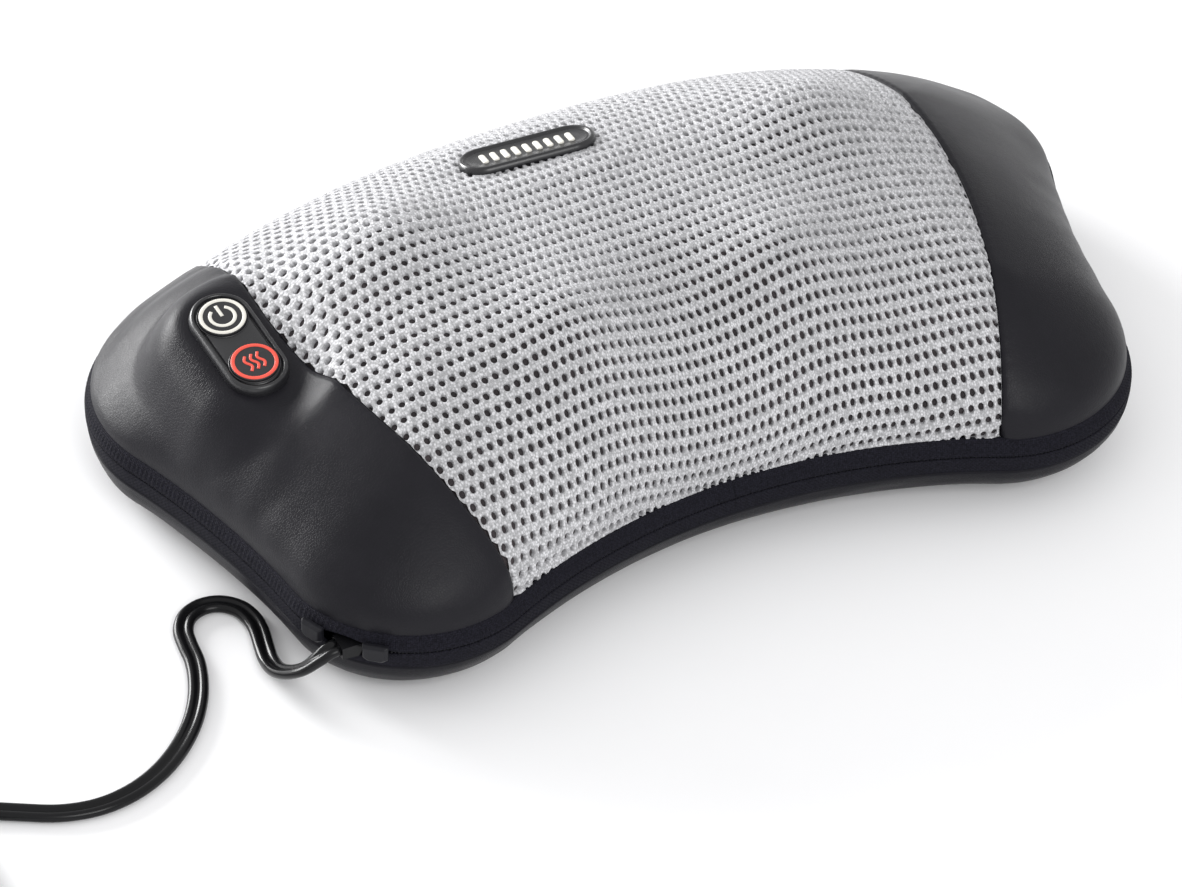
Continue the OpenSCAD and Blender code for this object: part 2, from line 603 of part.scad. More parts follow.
// ---- Casings ----
casing_r = 41;
casing_wall = 2.5;
casing_top = 41.4;
plate_t = 2.5;
bay_x = 20;
bay_y = 52;
bush_r = 12.5;
module casing_outline(inset) {
    r = casing_r - inset;
    for (side = [-1, 1]) translate([side * head_x, head_y]) circle(r = r, $fn = 96);
    translate([-head_x, head_y - r]) square([2 * head_x, 2 * r]);
    translate([-bay_x + inset, head_y]) square([2 * (bay_x - inset), bay_y - inset - head_y]);
}
boss_ring_r = 36.5;
boss_r = 4;
post_gap = 0.3;
SCREWS = concat(
    [for (side = [-1, 1], a = [-30, 30])
        [side * (head_x + boss_ring_r * cos(a)), head_y + boss_ring_r * sin(a)]],
    [for (side = [-1, 1]) [side * 26, 30.5]],
    [[0, head_y - boss_ring_r]]
);
screw_r = 1.5;
module base_casing() color([0.8, 0.8, 0.82]) difference() {
    union() {
        translate([0, 0, floor_z]) linear_extrude(floor_t) casing_outline(0);
        translate([0, 0, floor_z]) linear_extrude(casing_top - floor_z) difference() {
            casing_outline(0);
            casing_outline(casing_wall);
        }
        for (p = SCREWS)
            translate([p.x, p.y, floor_z]) cylinder(r = boss_r, h = casing_top - floor_z, $fn = 48);
        for (side = [-1, 1]) {
            at_head(side) translate([0, 0, floor_z])
                cylinder(r = 2 * head_spindle_r, h = head_gear_z[0] - post_gap - floor_z, $fn = 48);
            at_wheel(side) translate([0, 0, floor_z])
                cylinder(r = wheel_collar_r, h = wheel_collar_z - post_gap - floor_z, $fn = 48);
        }
        for (y = [4, 36]) translate([-14, y, floor_z]) cube([28, 4, 12]);
    }
    along_y(motor_y) cylinder(r = motor_r + motor_clear, h = motor_l + 4, $fn = 96);
    for (p = SCREWS) translate([p.x, p.y, casing_floor]) cylinder(r = screw_r, h = 60, $fn = 32);
    for (side = [-1, 1]) {
        at_head(side) translate([0, 0, casing_floor]) cylinder(r = head_spindle_r, h = 60, $fn = 48);
        at_wheel(side) translate([0, 0, casing_floor]) cylinder(r = gear_spindle_r, h = 60, $fn = 48);
    }
}
plate_z = casing_top + 0.05;
module upper_casing() color([0.8, 0.8, 0.82]) translate([0, 0, plate_z]) difference() {
    linear_extrude(plate_t) casing_outline(0);
    for (side = [-1, 1]) at_head(side) translate([0, 0, -1]) cylinder(r = bush_r, h = 9, $fn = 64);
    for (p = SCREWS) translate([p.x, p.y, -1]) {
        cylinder(r = screw_r + 0.1, h = 9, $fn = 32);
        translate([0, 0, 2]) cylinder(r = 3.2, h = 9, $fn = 32);
    }
}
plate_top = plate_z + plate_t;
screw_low = 22;
module casing_screws() color("silver") for (p = SCREWS) translate([p.x, p.y, 0]) {
    translate([0, 0, screw_low]) cylinder(r = screw_r, h = casing_top + 1.1 - screw_low, $fn = 32);
    translate([0, 0, casing_top + 1.06]) cylinder(r = 3, h = 1.3, $fn = 32);
}
module head_bushes() color("tan") for (side = [-1, 1]) at_head(side) translate([0, 0, plate_z])
    difference() {
        cylinder(r = bush_r, h = plate_t, $fn = 64);
        translate([0, 0, -1]) cylinder(r = hub_r + run_clear, h = 9, $fn = 64);
    }
spindle_top = arm_z + arm_t + 1.3;
module head_spindles() color("silver") for (side = [-1, 1]) at_head(side) {
    translate([0, 0, casing_floor]) cylinder(r = head_spindle_r, h = spindle_top - casing_floor, $fn = 48);
    translate([0, 0, spindle_top]) cylinder(r = 5.5, h = 1.6, $fn = 6);
}
module spindle_washers() color("silver") for (side = [-1, 1]) at_head(side)
    translate([0, 0, arm_z + arm_t + 0.2]) difference() {
        cylinder(r = 9.5, h = 1, $fn = 48);
        translate([0, 0, -1]) cylinder(r = head_spindle_r, h = 4, $fn = 48);
    }
module gear_spindles() color("silver") for (side = [-1, 1]) at_wheel(side)
    translate([0, 0, casing_floor]) cylinder(r = gear_spindle_r, h = casing_top - casing_floor, $fn = 48);

// ---- Foam, electronics and heat ----
foam_inset = base_inset + 3;
foam_top = 46;
sweep_clear = orbit_r + node_r + 3;
module foam_bed() color("khaki") difference() {
    translate([0, 0, base_t + 0.2])
        linear_extrude(foam_top - base_t - 0.2) polygon(inset_outline(foam_inset));
    translate([0, 0, floor_z - 0.2]) linear_extrude(60) casing_outline(-0.5);
    for (side = [-1, 1]) at_head(side)
        translate([0, 0, hub_top - 1]) cylinder(r = sweep_clear, h = 60, $fn = 96);
}
board = [30, 16, 1.6];
board_at = [-71, 9, 14];
module circuit_board() {
    color("darkgreen") translate(board_at) cube(board);
    color("black") translate(board_at + [4, 4, board.z]) cube([8, 8, 2]);
    color("navy") translate(board_at + [20, 8, board.z]) cylinder(d = 6, h = 8, $fn = 32);
    color("white") translate(board_at + [25, 3, board.z]) cube([4, 10, 5]);
    color("silver") for (x = [2, 28]) translate([board_at.x + x, board_at.y + 2, casing_floor])
        cylinder(r = 1.5, h = board_at.z - casing_floor, $fn = 32);
}
module heat_lamps() color("orangered") for (x = [-5, 5], y = [27, -36]) translate([x, y, plate_top + 0.02]) {
    cylinder(r = 3.2, h = 1.2, $fn = 32);
    cylinder(r = 2.5, h = 4, $fn = 32);
    translate([0, 0, 4]) sphere(r = 2.5, $fn = 32);
}

// ---- Cord ----
exit_at = [-137, -80, 23];
grommet_l = 9;
grommet_wall = 0.7;
module grommet_end(grow) rotate([90, 0, -90])
    linear_extrude(0.4) square([cord_w + grow, cord_t + grow], center = true);
module cord_grommet() color([0.06, 0.06, 0.07]) hull() {
    translate(exit_at + [0.4, 0, 0]) grommet_end(grommet_wall);
    translate(exit_at + [grommet_l, 0, 0]) grommet_end(1.6);
}
cord_low = cord_t / 2;
// Where the cord lies: out of the zip, down to the surface, back on itself and away to the coil.
ROUTE = [
    exit_at, [-139.4, -79.9, 22.8], [-142.8, -79.2, 20.2], [-146.4, -76.4, 15.2], [-148.8, -71, 10],
    [-149.8, -64.2, 5.6], [-149, -56.5, 2.5], [-147.6, -50, cord_low], [-146, -43, cord_low],
    [-145.6, -37, cord_low], [-147.2, -31, cord_low], [-151.6, -26.6, cord_low], [-157.4, -25.4, cord_low],
    [-163, -27.6, cord_low], [-166.6, -32.6, cord_low], [-168, -39, cord_low], [-169, -46.5, cord_low],
    [-171.5, -54.5, cord_low], [-175.6, -63, cord_low], [-181.6, -71.6, cord_low], [-189.6, -79.6, cord_low],
    [-199, -86, cord_low], [-209.5, -90, cord_low], [-220.5, -91, cord_low], [-231.5, -88.5, cord_low],
    [-242, -83, cord_low], [-255, -75.4, cord_low], [-268.6, -67.4, cord_low]
];
coil_c = [-307.5, -96];
coil_pitch = cord_w + 0.2;
coil_out = coil_r + coil_pitch + cord_w / 2 + 0.6;
coil_in = coil_r - coil_pitch - cord_w / 2 - 0.6;
coil_h = 2 * cord_t + 0.8;
function tangent(points, i) =
    let (a = points[max(0, i - 1)], b = points[min(len(points) - 1, i + 1)]) (b - a) / norm(b - a);
// A flat section with rounded edges, its width kept level.
function cord_section(p, t) =
    let (side = cross([0, 0, 1], t) / norm(cross([0, 0, 1], t)), up = cross(t, side))
    [for (a = [0:36:324]) p - side * cord_w / 2 * cos(a) + up * cord_t / 2 * sin(a)];
module power_cord() color([0.05, 0.05, 0.06])
    open_sweep([for (i = [0:len(ROUTE) - 1]) cord_section(ROUTE[i], tangent(ROUTE, i))]);
module cord_coil() color([0.05, 0.05, 0.06]) translate([coil_c.x, coil_c.y, 0]) rotate_extrude($fn = 96)
    translate([coil_in, 0]) square([coil_out - coil_in, coil_h]);
plug_at = [-369, -104];
plug_heading = 240;
plug_r = 5.2;
barrel_r = 2.75;
barrel_end = 34;
bore_r = 1.1;
module dc_plug() translate([plug_at.x, plug_at.y, plug_r]) rotate(plug_heading) rotate([0, 90, 0]) {
    color([0.06, 0.06, 0.07]) cylinder(r = plug_r, h = 24, $fn = 48);
    color("silver") difference() {
        cylinder(r = barrel_r, h = barrel_end, $fn = 48);
        translate([0, 0, barrel_end - 8]) cylinder(r = bore_r, h = 10, $fn = 32);
    }
}

mesh_panel();
left_end_panel();
right_end_panel();
upper_zip_tape();
lower_zip_tape();
zip_coil();
left_zip_slider();
front_zip_slider();
lower_shell();
base_panel();
badge();
control_pad();
power_button();
heat_button();
switch_domes();
foam_bed();
base_casing();
upper_casing();
casing_screws();
motor();
motor_clamp();
motor_shaft();
worm();
shaft_bearing();
gear_spindles();
left_drive_gear();
right_drive_gear();
head_spindles();
spindle_washers();
head_bushes();
left_head_gear();
left_head_arm();
left_node_pins();
left_back_node();
left_front_node();
right_head_gear();
right_head_arm();
right_node_pins();
right_back_node();
right_front_node();
circuit_board();
heat_lamps();
cord_grommet();
power_cord();
cord_coil();
dc_plug();
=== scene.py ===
"""Looks of a shiatsu neck massager: a zipped pillow cover over a four-node massage unit, with its flat cord.

All sizes are in metres, in the frame of the packed model: +X along the pillow, +Y to its back edge, +Z up.
"""

import math

import bmesh
import bpy
import numpy as np
from bpy.props import FloatProperty, FloatVectorProperty, IntProperty, PointerProperty
from mathutils import Matrix, Vector


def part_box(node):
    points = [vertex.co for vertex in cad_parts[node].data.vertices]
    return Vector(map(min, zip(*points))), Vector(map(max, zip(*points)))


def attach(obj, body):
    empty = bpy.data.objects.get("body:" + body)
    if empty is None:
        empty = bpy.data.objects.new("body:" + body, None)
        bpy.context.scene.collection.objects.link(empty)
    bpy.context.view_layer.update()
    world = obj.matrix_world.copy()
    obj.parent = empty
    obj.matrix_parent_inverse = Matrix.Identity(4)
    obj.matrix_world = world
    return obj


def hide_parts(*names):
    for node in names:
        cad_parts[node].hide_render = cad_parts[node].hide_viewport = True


bl_info = {
    "name": "Neck Massager Pillow",
    "version": (1, 0, 0),
    "blender": (4, 5, 0),
    "location": "3D View > Sidebar > Massager",
    "description": "Builds the cover, controls, cord and finishes of a neck massager pillow around its frame",
    "category": "Add Mesh",
}

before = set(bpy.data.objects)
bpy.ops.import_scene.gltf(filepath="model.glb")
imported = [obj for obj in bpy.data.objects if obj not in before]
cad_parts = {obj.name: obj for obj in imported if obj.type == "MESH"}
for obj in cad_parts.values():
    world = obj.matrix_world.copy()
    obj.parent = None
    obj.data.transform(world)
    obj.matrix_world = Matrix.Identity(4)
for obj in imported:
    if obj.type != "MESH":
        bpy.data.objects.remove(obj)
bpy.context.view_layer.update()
PILLOW = "pillow"
MM = 0.001


# ---- Settings ----
def metres(name, description, default):
    """A length property."""
    return FloatProperty(name=name, description=description, default=default, unit="LENGTH", precision=5)


def tint(name, description, default):
    """A colour property, linear red, green and blue."""
    return FloatVectorProperty(
        name=name, description=description, default=default, subtype="COLOR", size=3, min=0.0, max=1.0
    )


class MassagerShape(bpy.types.PropertyGroup):
    """Driving dimensions of the pillow, as the packed model has them"""

    length: metres("Length", "Length of the pillow from end to end", 0.330)
    width: metres("Width", "Width from the front corners to the back edge", 0.194)
    waist_depth: metres("Neck curve", "Depth of the hollow in the front edge", 0.023)
    front_corner_r: metres("Front corner radius", "Radius of the front corners", 0.0425)
    front_corner_x: metres("Front corner place", "How far out the front corner centres are", 0.101)
    back_corner_r: metres("Back corner radius", "Radius of the back corners", 0.048)
    back_corner_y: metres("Back corner place", "Distance of the back corner centres behind the middle", 0.034)
    end_arc_r: metres("End hollow radius", "Radius of the hollow in each end", 0.300)
    zip_z: metres("Zip height", "Height of the zip line", 0.024)
    cover_rise: metres("Cover rise", "Height of the cover's lower edge above the zip line", 0.0055)
    cover_inset: metres("Cover inset", "How far the cover's lower edge is set in", 0.0025)
    dome_h: metres("Dome height", "Height of the dome above the cover's lower edge", 0.052)
    dome_rim: metres("Dome rim", "Width of the rounded rim of the dome", 0.078)
    bulge_h: metres("Bulge height", "Height of each bulge over a massage node", 0.008)
    bulge_r: metres("Bulge radius", "Radius of each bulge over a massage node", 0.023)
    seam_x: metres("Seam distance", "Distance of the curved seams from the middle", 0.1125)
    seam_r: metres("Seam radius", "Radius of the curved seams", 0.296)
    base_inset: metres("Base inset", "How far the flat base is set in from the zip line", 0.024)


class MassagerCloth(bpy.types.PropertyGroup):
    """Mesh cloth, leatherette and tape of the cover"""

    hole_pitch: metres("Hole pitch", "Distance between neighbouring holes along a row in the middle", 0.00275)
    end_pitch: metres("Stretched pitch", "Distance between neighbouring holes where it is stretched", 0.00345)
    row_pitch: metres("Row pitch", "Distance from one row of holes to the next", 0.0050)
    cloth_depth: metres("Cloth depth", "Thickness of the spacer cloth", 0.0016)
    mesh_colour: tint("Mesh", "Yarn of the mesh cloth", (0.62, 0.62, 0.64))
    backing_colour: tint("Backing", "Lower layer seen through the holes", (0.040, 0.032, 0.035))
    hide_colour: tint("Leatherette", "Leatherette ends and lower cover", (0.0100, 0.0096, 0.0125))
    tape_colour: tint("Tape", "Woven zip tape", (0.0082, 0.0080, 0.0122))


class MassagerControls(bpy.types.PropertyGroup):
    """Control pad, buttons and badge"""

    pad_l: metres("Pad length", "Length of the control pad", 0.043)
    pad_w: metres("Pad width", "Width of the control pad", 0.020)
    button_d: metres("Button diameter", "Diameter of each button", 0.015)
    button_pitch: metres("Button pitch", "Distance between the buttons", 0.021)
    badge_l: metres("Badge length", "Length of the badge", 0.044)
    badge_w: metres("Badge width", "Width of the badge", 0.016)
    pad_colour: tint("Pad", "Moulded pad and badge", (0.014, 0.014, 0.016))
    power_colour: tint("Power mark", "Ring and sign of the power button", (0.74, 0.72, 0.66))
    heat_colour: tint("Heat mark", "Ring and waves of the heat button", (0.80, 0.085, 0.055))
    bars: IntProperty(name="Badge bars", description="Number of plain bars on the badge", default=9, min=3)


class MassagerCord(bpy.types.PropertyGroup):
    """Flat twin cord, its stored coil and its plug"""

    width: metres("Cord width", "Width of the flat cord", 0.0064)
    thickness: metres("Cord thickness", "Thickness of the flat cord", 0.0034)
    length: metres("Cord length", "Length of the cord from the pillow to the plug", 1.80)
    coil_r: metres("Coil radius", "Mean radius of the stored coil", 0.0378)
    cord_colour: tint("Cord", "Jacket of the cord", (0.0060, 0.0060, 0.0068))


class MassagerStage(bpy.types.PropertyGroup):
    """Camera, floor and lights"""

    azimuth: FloatProperty(name="Azimuth", description="Camera direction, in degrees", default=-27.315)
    elevation: FloatProperty(name="Elevation", description="Camera height angle, in degrees", default=41.776)
    roll: FloatProperty(name="Roll", description="Camera roll, in degrees", default=1.12)
    distance: metres("Distance", "Camera distance from its target", 2.2387)
    lens: FloatProperty(name="Lens", description="Focal length, in millimetres", default=223.5)
    floor_colour: tint("Floor", "Plain studio floor", (0.94, 0.94, 0.95))


SETTINGS = {
    "massager_shape": MassagerShape,
    "massager_cloth": MassagerCloth,
    "massager_controls": MassagerControls,
    "massager_cord": MassagerCord,
    "massager_stage": MassagerStage,
}


# ---- Outline and cover surface ----
def unit2(angle):
    """Unit vector at an angle in degrees."""
    return np.array([math.cos(math.radians(angle)), math.sin(math.radians(angle))])


def heading(v):
    """Angle of a plan vector in degrees."""
    return math.degrees(math.atan2(v[1], v[0]))


def smooth(t):
    """A soft step from 0 to 1."""
    c = np.clip(t, 0.0, 1.0)
    return c * c * (3 - 2 * c)


def unit(v):
    """Vectors along the last axis, scaled to length one."""
    return v / np.maximum(np.linalg.norm(v, axis=-1, keepdims=True), 1e-12)


class Cover:
    """The pillow's outline and domed cover, by the packed model's formulas, held flat under the controls."""

    dome_mid_y = -0.009
    dome_x_scale = 0.105
    dome_y_scale = 0.070
    head_x = 0.055
    head_y = -0.006
    bulge_reach = 0.037
    arm_angle = 60
    end_drop = 0.0095
    side_drop = 0.012
    lean = 0.0055
    twist_drop = 0.003
    rim_power = 2.7
    rim_root = 0.37
    seam_mid_y = 0.040
    flat_band = 16 * MM
    fill_band = 32 * MM
    fill_rim = 22 * MM

    def __init__(self, shape):
        self.s = s = shape
        front_y, back_y = -s.width / 2, s.width / 2
        waist_y = front_y + s.waist_depth
        self.front_c = front_c = np.array([s.front_corner_x, front_y + s.front_corner_r])
        self.back_c = back_c = np.array([s.length / 2 - s.back_corner_r, s.back_corner_y])
        k = front_c[1] - waist_y
        waist_r = (front_c[0] ** 2 + k**2 - s.front_corner_r**2) / (2 * (s.front_corner_r - k))
        self.waist_c, self.waist_r = np.array([0.0, waist_y - waist_r]), waist_r
        k = back_y - back_c[1]
        crest_r = (back_c[0] ** 2 + k**2 - s.back_corner_r**2) / (2 * (k - s.back_corner_r))
        self.crest_c, self.crest_r = np.array([0.0, back_y - crest_r]), crest_r
        gap = np.linalg.norm(back_c - front_c)
        u = (back_c - front_c) / gap
        a, b = s.end_arc_r + s.front_corner_r, s.end_arc_r + s.back_corner_r
        t = (a**2 - b**2 + gap**2) / (2 * gap)
        end_c = front_c + u * t + np.array([u[1], -u[0]]) * math.sqrt(a**2 - t**2)
        # Each arc is [centre, radius, first angle, last angle, +1 for convex or -1 for hollow].
        self.arcs = [
            (self.waist_c, waist_r, 90.0, heading(front_c - self.waist_c), -1),
            (front_c, s.front_corner_r, heading(self.waist_c - front_c), heading(end_c - front_c), 1),
            (end_c, s.end_arc_r, heading(front_c - end_c) % 360, heading(back_c - end_c) % 360, -1),
            (back_c, s.back_corner_r, heading(end_c - back_c), heading(back_c - self.crest_c), 1),
            (self.crest_c, crest_r, heading(back_c - self.crest_c), 90.0, 1),
        ]
        self.cover_z = s.zip_z + s.cover_rise
        places = [(side, turn) for side in (-1, 1) for turn in (0, 180)]
        self.bulges = [
            np.array([side * self.head_x, self.head_y])
            + self.bulge_reach * unit2(self.arm_angle + turn) * np.array([side, 1])
            for side, turn in places
        ]
        self.patches = []

    def edge_distance(self, x, y):
        """Distance in plan from the cover's lower edge."""
        best = np.full(np.shape(x), 1.0)
        for centre, radius, first, last, way in self.arcs:
            vx, vy = np.abs(x) - centre[0], y - centre[1]
            turn = np.degrees(np.arctan2(vy, vx)) - (first + last) / 2
            turn = turn - 360 * np.round(turn / 360)
            gap = way * (radius - way * self.s.cover_inset - np.hypot(vx, vy))
            inside = np.abs(turn) <= abs(last - first) / 2 + 0.5
            best = np.where(inside, np.minimum(best, gap), best)
        return np.maximum(0.0, best)

    def draped_z(self, x, y):
        """Height of the cover before it is held flat under the pad and the badge."""
        rim = 1 - np.power(1 - np.minimum(1.0, self.edge_distance(x, y) / self.s.dome_rim), self.rim_power)
        rim = np.power(np.maximum(0.0, rim), self.rim_root)
        u = np.abs(x / self.dome_x_scale) ** 3
        v = (y - self.dome_mid_y) / self.dome_y_scale
        dome = self.s.dome_h - self.end_drop * u + self.lean * v
        dome = dome - self.side_drop * v**2 - self.twist_drop * v * u
        for b in self.bulges:
            dome = dome + self.s.bulge_h * np.exp(-((x - b[0]) ** 2 + (y - b[1]) ** 2) / self.s.bulge_r**2)
        return self.cover_z + rim * dome

    def add_patch(self, centre, length, width, direction, lift, lean=None, fill=0.0):
        """Holds the cover flat under a stadium shape, and returns the patch's frame as a 4x4 matrix.

        lean is the patch's own tilt and its heading, in degrees; without it the patch lies as the cover does.
        fill is the most that the stuffing plumps the cover, beyond the packed model's shape, round the patch.
        """
        x, y, h = centre[0], centre[1], 0.5 * MM
        if lean is None:
            slope_x = (self.draped_z(x - h, y) - self.draped_z(x + h, y)) / (2 * h)
            slope_y = (self.draped_z(x, y - h) - self.draped_z(x, y + h)) / (2 * h)
            normal = unit(np.array([float(slope_x), float(slope_y), 1.0]))
        else:
            tilt, towards = math.radians(lean[0]), unit2(lean[1])
            normal = np.append(math.sin(tilt) * towards, math.cos(tilt))
        origin = np.array([x, y, float(self.draped_z(x, y)) + lift])
        self.patches.append((origin, normal, (length - width) / 2, width / 2, direction, fill))
        way = heading(normal)
        turned = Matrix.Rotation(math.radians(way), 4, "Z") @ Matrix.Rotation(math.acos(normal[2]), 4, "Y")
        return Matrix.Translation(origin) @ turned @ Matrix.Rotation(math.radians(direction - way), 4, "Z")

    def surface_z(self, x, y):
        """Height of the finished cover."""
        z = self.draped_z(x, y)
        for origin, normal, run, radius, direction, fill in self.patches:
            vx, vy = x - origin[0], y - origin[1]
            a, b = unit2(direction), unit2(direction + 90)
            along = np.maximum(0.0, np.abs(vx * a[0] + vy * a[1]) - run)
            gap = np.hypot(along, vx * b[0] + vy * b[1]) - radius
            near, wide = (1 - smooth((gap - 2 * MM) / reach) for reach in (self.flat_band, self.fill_band))
            flat = origin[2] - (normal[0] * vx + normal[1] * vy) / normal[2]
            z = z + (flat - z) * near
            if fill:
                spare = (flat - z + np.hypot(flat - z, 1.5 * MM)) / 2 * np.maximum(0.0, wide - near)
                rim = 1 - (1 - np.minimum(1.0, self.edge_distance(x, y) / self.fill_rim)) ** 3
                z = z + fill * np.tanh(spare / fill) * rim
        return z

    def normals(self, x, y, h=0.4 * MM):
        """Unit normals of the finished cover."""
        nx = (self.surface_z(x - h, y) - self.surface_z(x + h, y)) / (2 * h)
        ny = (self.surface_z(x, y - h) - self.surface_z(x, y + h)) / (2 * h)
        return unit(np.stack([nx, ny, np.ones_like(nx)], -1))

    def seam_at(self, y):
        """Distance of the seam from the middle."""
        return self.s.seam_x - self.s.seam_r + np.sqrt(self.s.seam_r**2 - (y - self.seam_mid_y) ** 2)

    def front_edge(self, x):
        """Front end, in plan, of the cover's lower edge."""
        waist = self.waist_r + self.s.cover_inset
        corner = self.s.front_corner_r - self.s.cover_inset
        reach = waist * math.cos(math.radians(heading(self.front_c - self.waist_c)))
        middle = self.waist_c[1] + np.sqrt(np.maximum(0, waist**2 - x**2))
        side = self.front_c[1] - np.sqrt(np.maximum(0, corner**2 - (np.abs(x) - self.front_c[0]) ** 2))
        return np.where(np.abs(x) < reach, middle, side)

    def back_edge(self, x):
        """Back end, in plan, of the cover's lower edge."""
        crest = self.crest_r - self.s.cover_inset
        corner = self.s.back_corner_r - self.s.cover_inset
        reach = crest * math.cos(math.radians(heading(self.back_c - self.crest_c)))
        middle = self.crest_c[1] + np.sqrt(crest**2 - x**2)
        side = self.back_c[1] + np.sqrt(np.maximum(0, corner**2 - (np.abs(x) - self.back_c[0]) ** 2))
        return np.where(np.abs(x) < reach, middle, side)

    def seam_foot(self, edge):
        """Where the right seam meets the front or the back edge."""
        y = -0.08 if edge == self.front_edge else 0.08
        for _ in range(8):
            y = float(edge(self.seam_at(y)))
        return y

    def stations(self, step):
        """Evenly spaced points of the whole outline, their outward normals and the distance run so far."""
        points, normals = [], []
        for centre, radius, first, last, way in self.arcs:
            count = max(4, int(abs(math.radians(last - first)) * radius / (0.25 * step)))
            angles = np.radians(np.linspace(first, last, count, endpoint=False))
            ring = np.stack([np.cos(angles), np.sin(angles)], -1)
            points.append(centre + radius * ring)
            normals.append(way * ring)
        points, normals = np.concatenate(points), np.concatenate(normals)
        flip = np.array([-1.0, 1.0])
        points = np.concatenate([points, [[0, self.s.width / 2]], points[:0:-1] * flip])
        normals = np.concatenate([normals, [[0, 1.0]], normals[:0:-1] * flip])
        legs = np.linalg.norm(np.diff(np.concatenate([points, points[:1]]), axis=0), axis=1)
        run = np.concatenate([[0], np.cumsum(legs)])
        count = int(round(run[-1] / step))
        along = np.arange(count) * run[-1] / count
        pick = [np.interp(along, run, np.append(v, v[0])) for v in (*points.T, *normals.T)]
        return np.stack(pick[:2], -1), unit(np.stack(pick[2:], -1)), along


# Where the control pad and the badge lie, as the packed model has them; angles are in degrees.
PAD_PLACE = {"centre": (-0.1255, 0.0144), "direction": 93, "lift": 2.4 * MM, "lean": (7, 243), "fill": 2 * MM}
BADGE_PLACE = {"centre": (-0.013, 0.045), "direction": -6, "lift": -0.5 * MM}


def build_cover(context):
    """The cover with its two flat patches, and the frames of the control pad and the badge."""
    cover = Cover(context.scene.massager_shape)
    c = context.scene.massager_controls
    pad = cover.add_patch(length=c.pad_l, width=c.pad_w, **PAD_PLACE)
    badge = cover.add_patch(length=c.badge_l, width=c.badge_w, **BADGE_PLACE)
    low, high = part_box("lower_zip_tape")
    if abs((high - low).x - cover.s.length) > 2 * MM or abs((high - low).y - cover.s.width) > 2 * MM:
        raise RuntimeError("the pillow's length or width differs from the packed model's")
    return cover, pad, badge


# ---- Meshes ----
def face_outward(mesh):
    """Turns the faces of a mesh away from its middle, on open sheets too."""
    shell = bmesh.new()
    shell.from_mesh(mesh)
    bmesh.ops.recalc_face_normals(shell, faces=shell.faces)
    centres = np.array([face.calc_center_median() for face in shell.faces])
    outward = np.array([face.normal for face in shell.faces]) * (centres - centres.mean(0))
    areas = np.array([face.calc_area() for face in shell.faces])
    if float(outward.sum(1) @ areas) < 0:
        bmesh.ops.reverse_faces(shell, faces=shell.faces)
    shell.to_mesh(mesh)
    shell.free()


def add_mesh(name, points, faces, material, body=PILLOW, slot=None, replaces=(), cloth=None, flat=False):
    """A mesh piece from points and faces, riding on a body. cloth is each point's place in the cloth."""
    mesh = bpy.data.meshes.new(name)
    mesh.from_pydata([tuple(p) for p in np.asarray(points, float).tolist()], [], [list(f) for f in faces])
    mesh.validate()
    face_outward(mesh)
    mesh.materials.append(material)
    if not flat:
        mesh.shade_smooth()
    if cloth is not None:
        data = mesh.attributes.new("cloth_at", "FLOAT_VECTOR", "POINT")
        data.data.foreach_set("vector", np.asarray(cloth, np.float32).ravel())
    piece = bpy.data.objects.new(name, mesh)
    bpy.context.scene.collection.objects.link(piece)
    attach(piece, body)
    if replaces:
        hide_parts(*replaces)
    return piece


def grid_faces(rows, columns, ring_rows=False, ring_columns=False, flip=False):
    """Faces of a grid of points, closed on itself where asked."""
    row_count, column_count = rows if ring_rows else rows - 1, columns if ring_columns else columns - 1
    i, j = np.meshgrid(np.arange(row_count), np.arange(column_count), indexing="ij")
    a = i * columns + j
    b = i * columns + (j + 1) % columns
    c = ((i + 1) % rows) * columns + (j + 1) % columns
    d = ((i + 1) % rows) * columns + j
    order = (a, d, c, b) if flip else (a, b, c, d)
    return np.stack([v.ravel() for v in order], -1).tolist()


def bevelled(piece, width, segments=2, angle=30):
    """Rounds a piece's edges with a bevel modifier."""
    modifier = piece.modifiers.new("round_edges", "BEVEL")
    modifier.width = width
    modifier.segments = segments
    modifier.limit_method = "ANGLE"
    modifier.angle_limit = math.radians(angle)
    return piece


def swept_ring(name, sections, material, run, **options):
    """A closed band: sections is stations x profile points x 3, and run the distance at each station."""
    count, profile = sections.shape[:2]
    legs = np.linalg.norm(np.diff(sections[0], axis=0), axis=1)
    across = np.concatenate([[0], np.cumsum(legs)])
    cloth = np.zeros((count, profile, 3))
    cloth[..., 0] = run[:, None]
    cloth[..., 1] = across[None, :]
    faces = grid_faces(count, profile, ring_rows=True)
    return add_mesh(name, sections.reshape(-1, 3), faces, material, cloth=cloth.reshape(-1, 3), **options)


def lathe(name, profile, matrix, material, steps=48, **options):
    """A turned piece: profile is a list of (radius, height) from the bottom to the top."""
    angles = np.radians(np.arange(steps) * 360 / steps)
    ring = np.stack([np.cos(angles), np.sin(angles)], -1)
    points = [(r * c, r * s, h) for r, h in profile for c, s in ring]
    faces = grid_faces(len(profile), steps, ring_columns=True)
    faces.append(list(range(steps))[::-1])
    faces.append(list(range((len(profile) - 1) * steps, len(profile) * steps)))
    placed = [matrix @ Vector(p) for p in points]
    return add_mesh(name, placed, faces, material, **options)


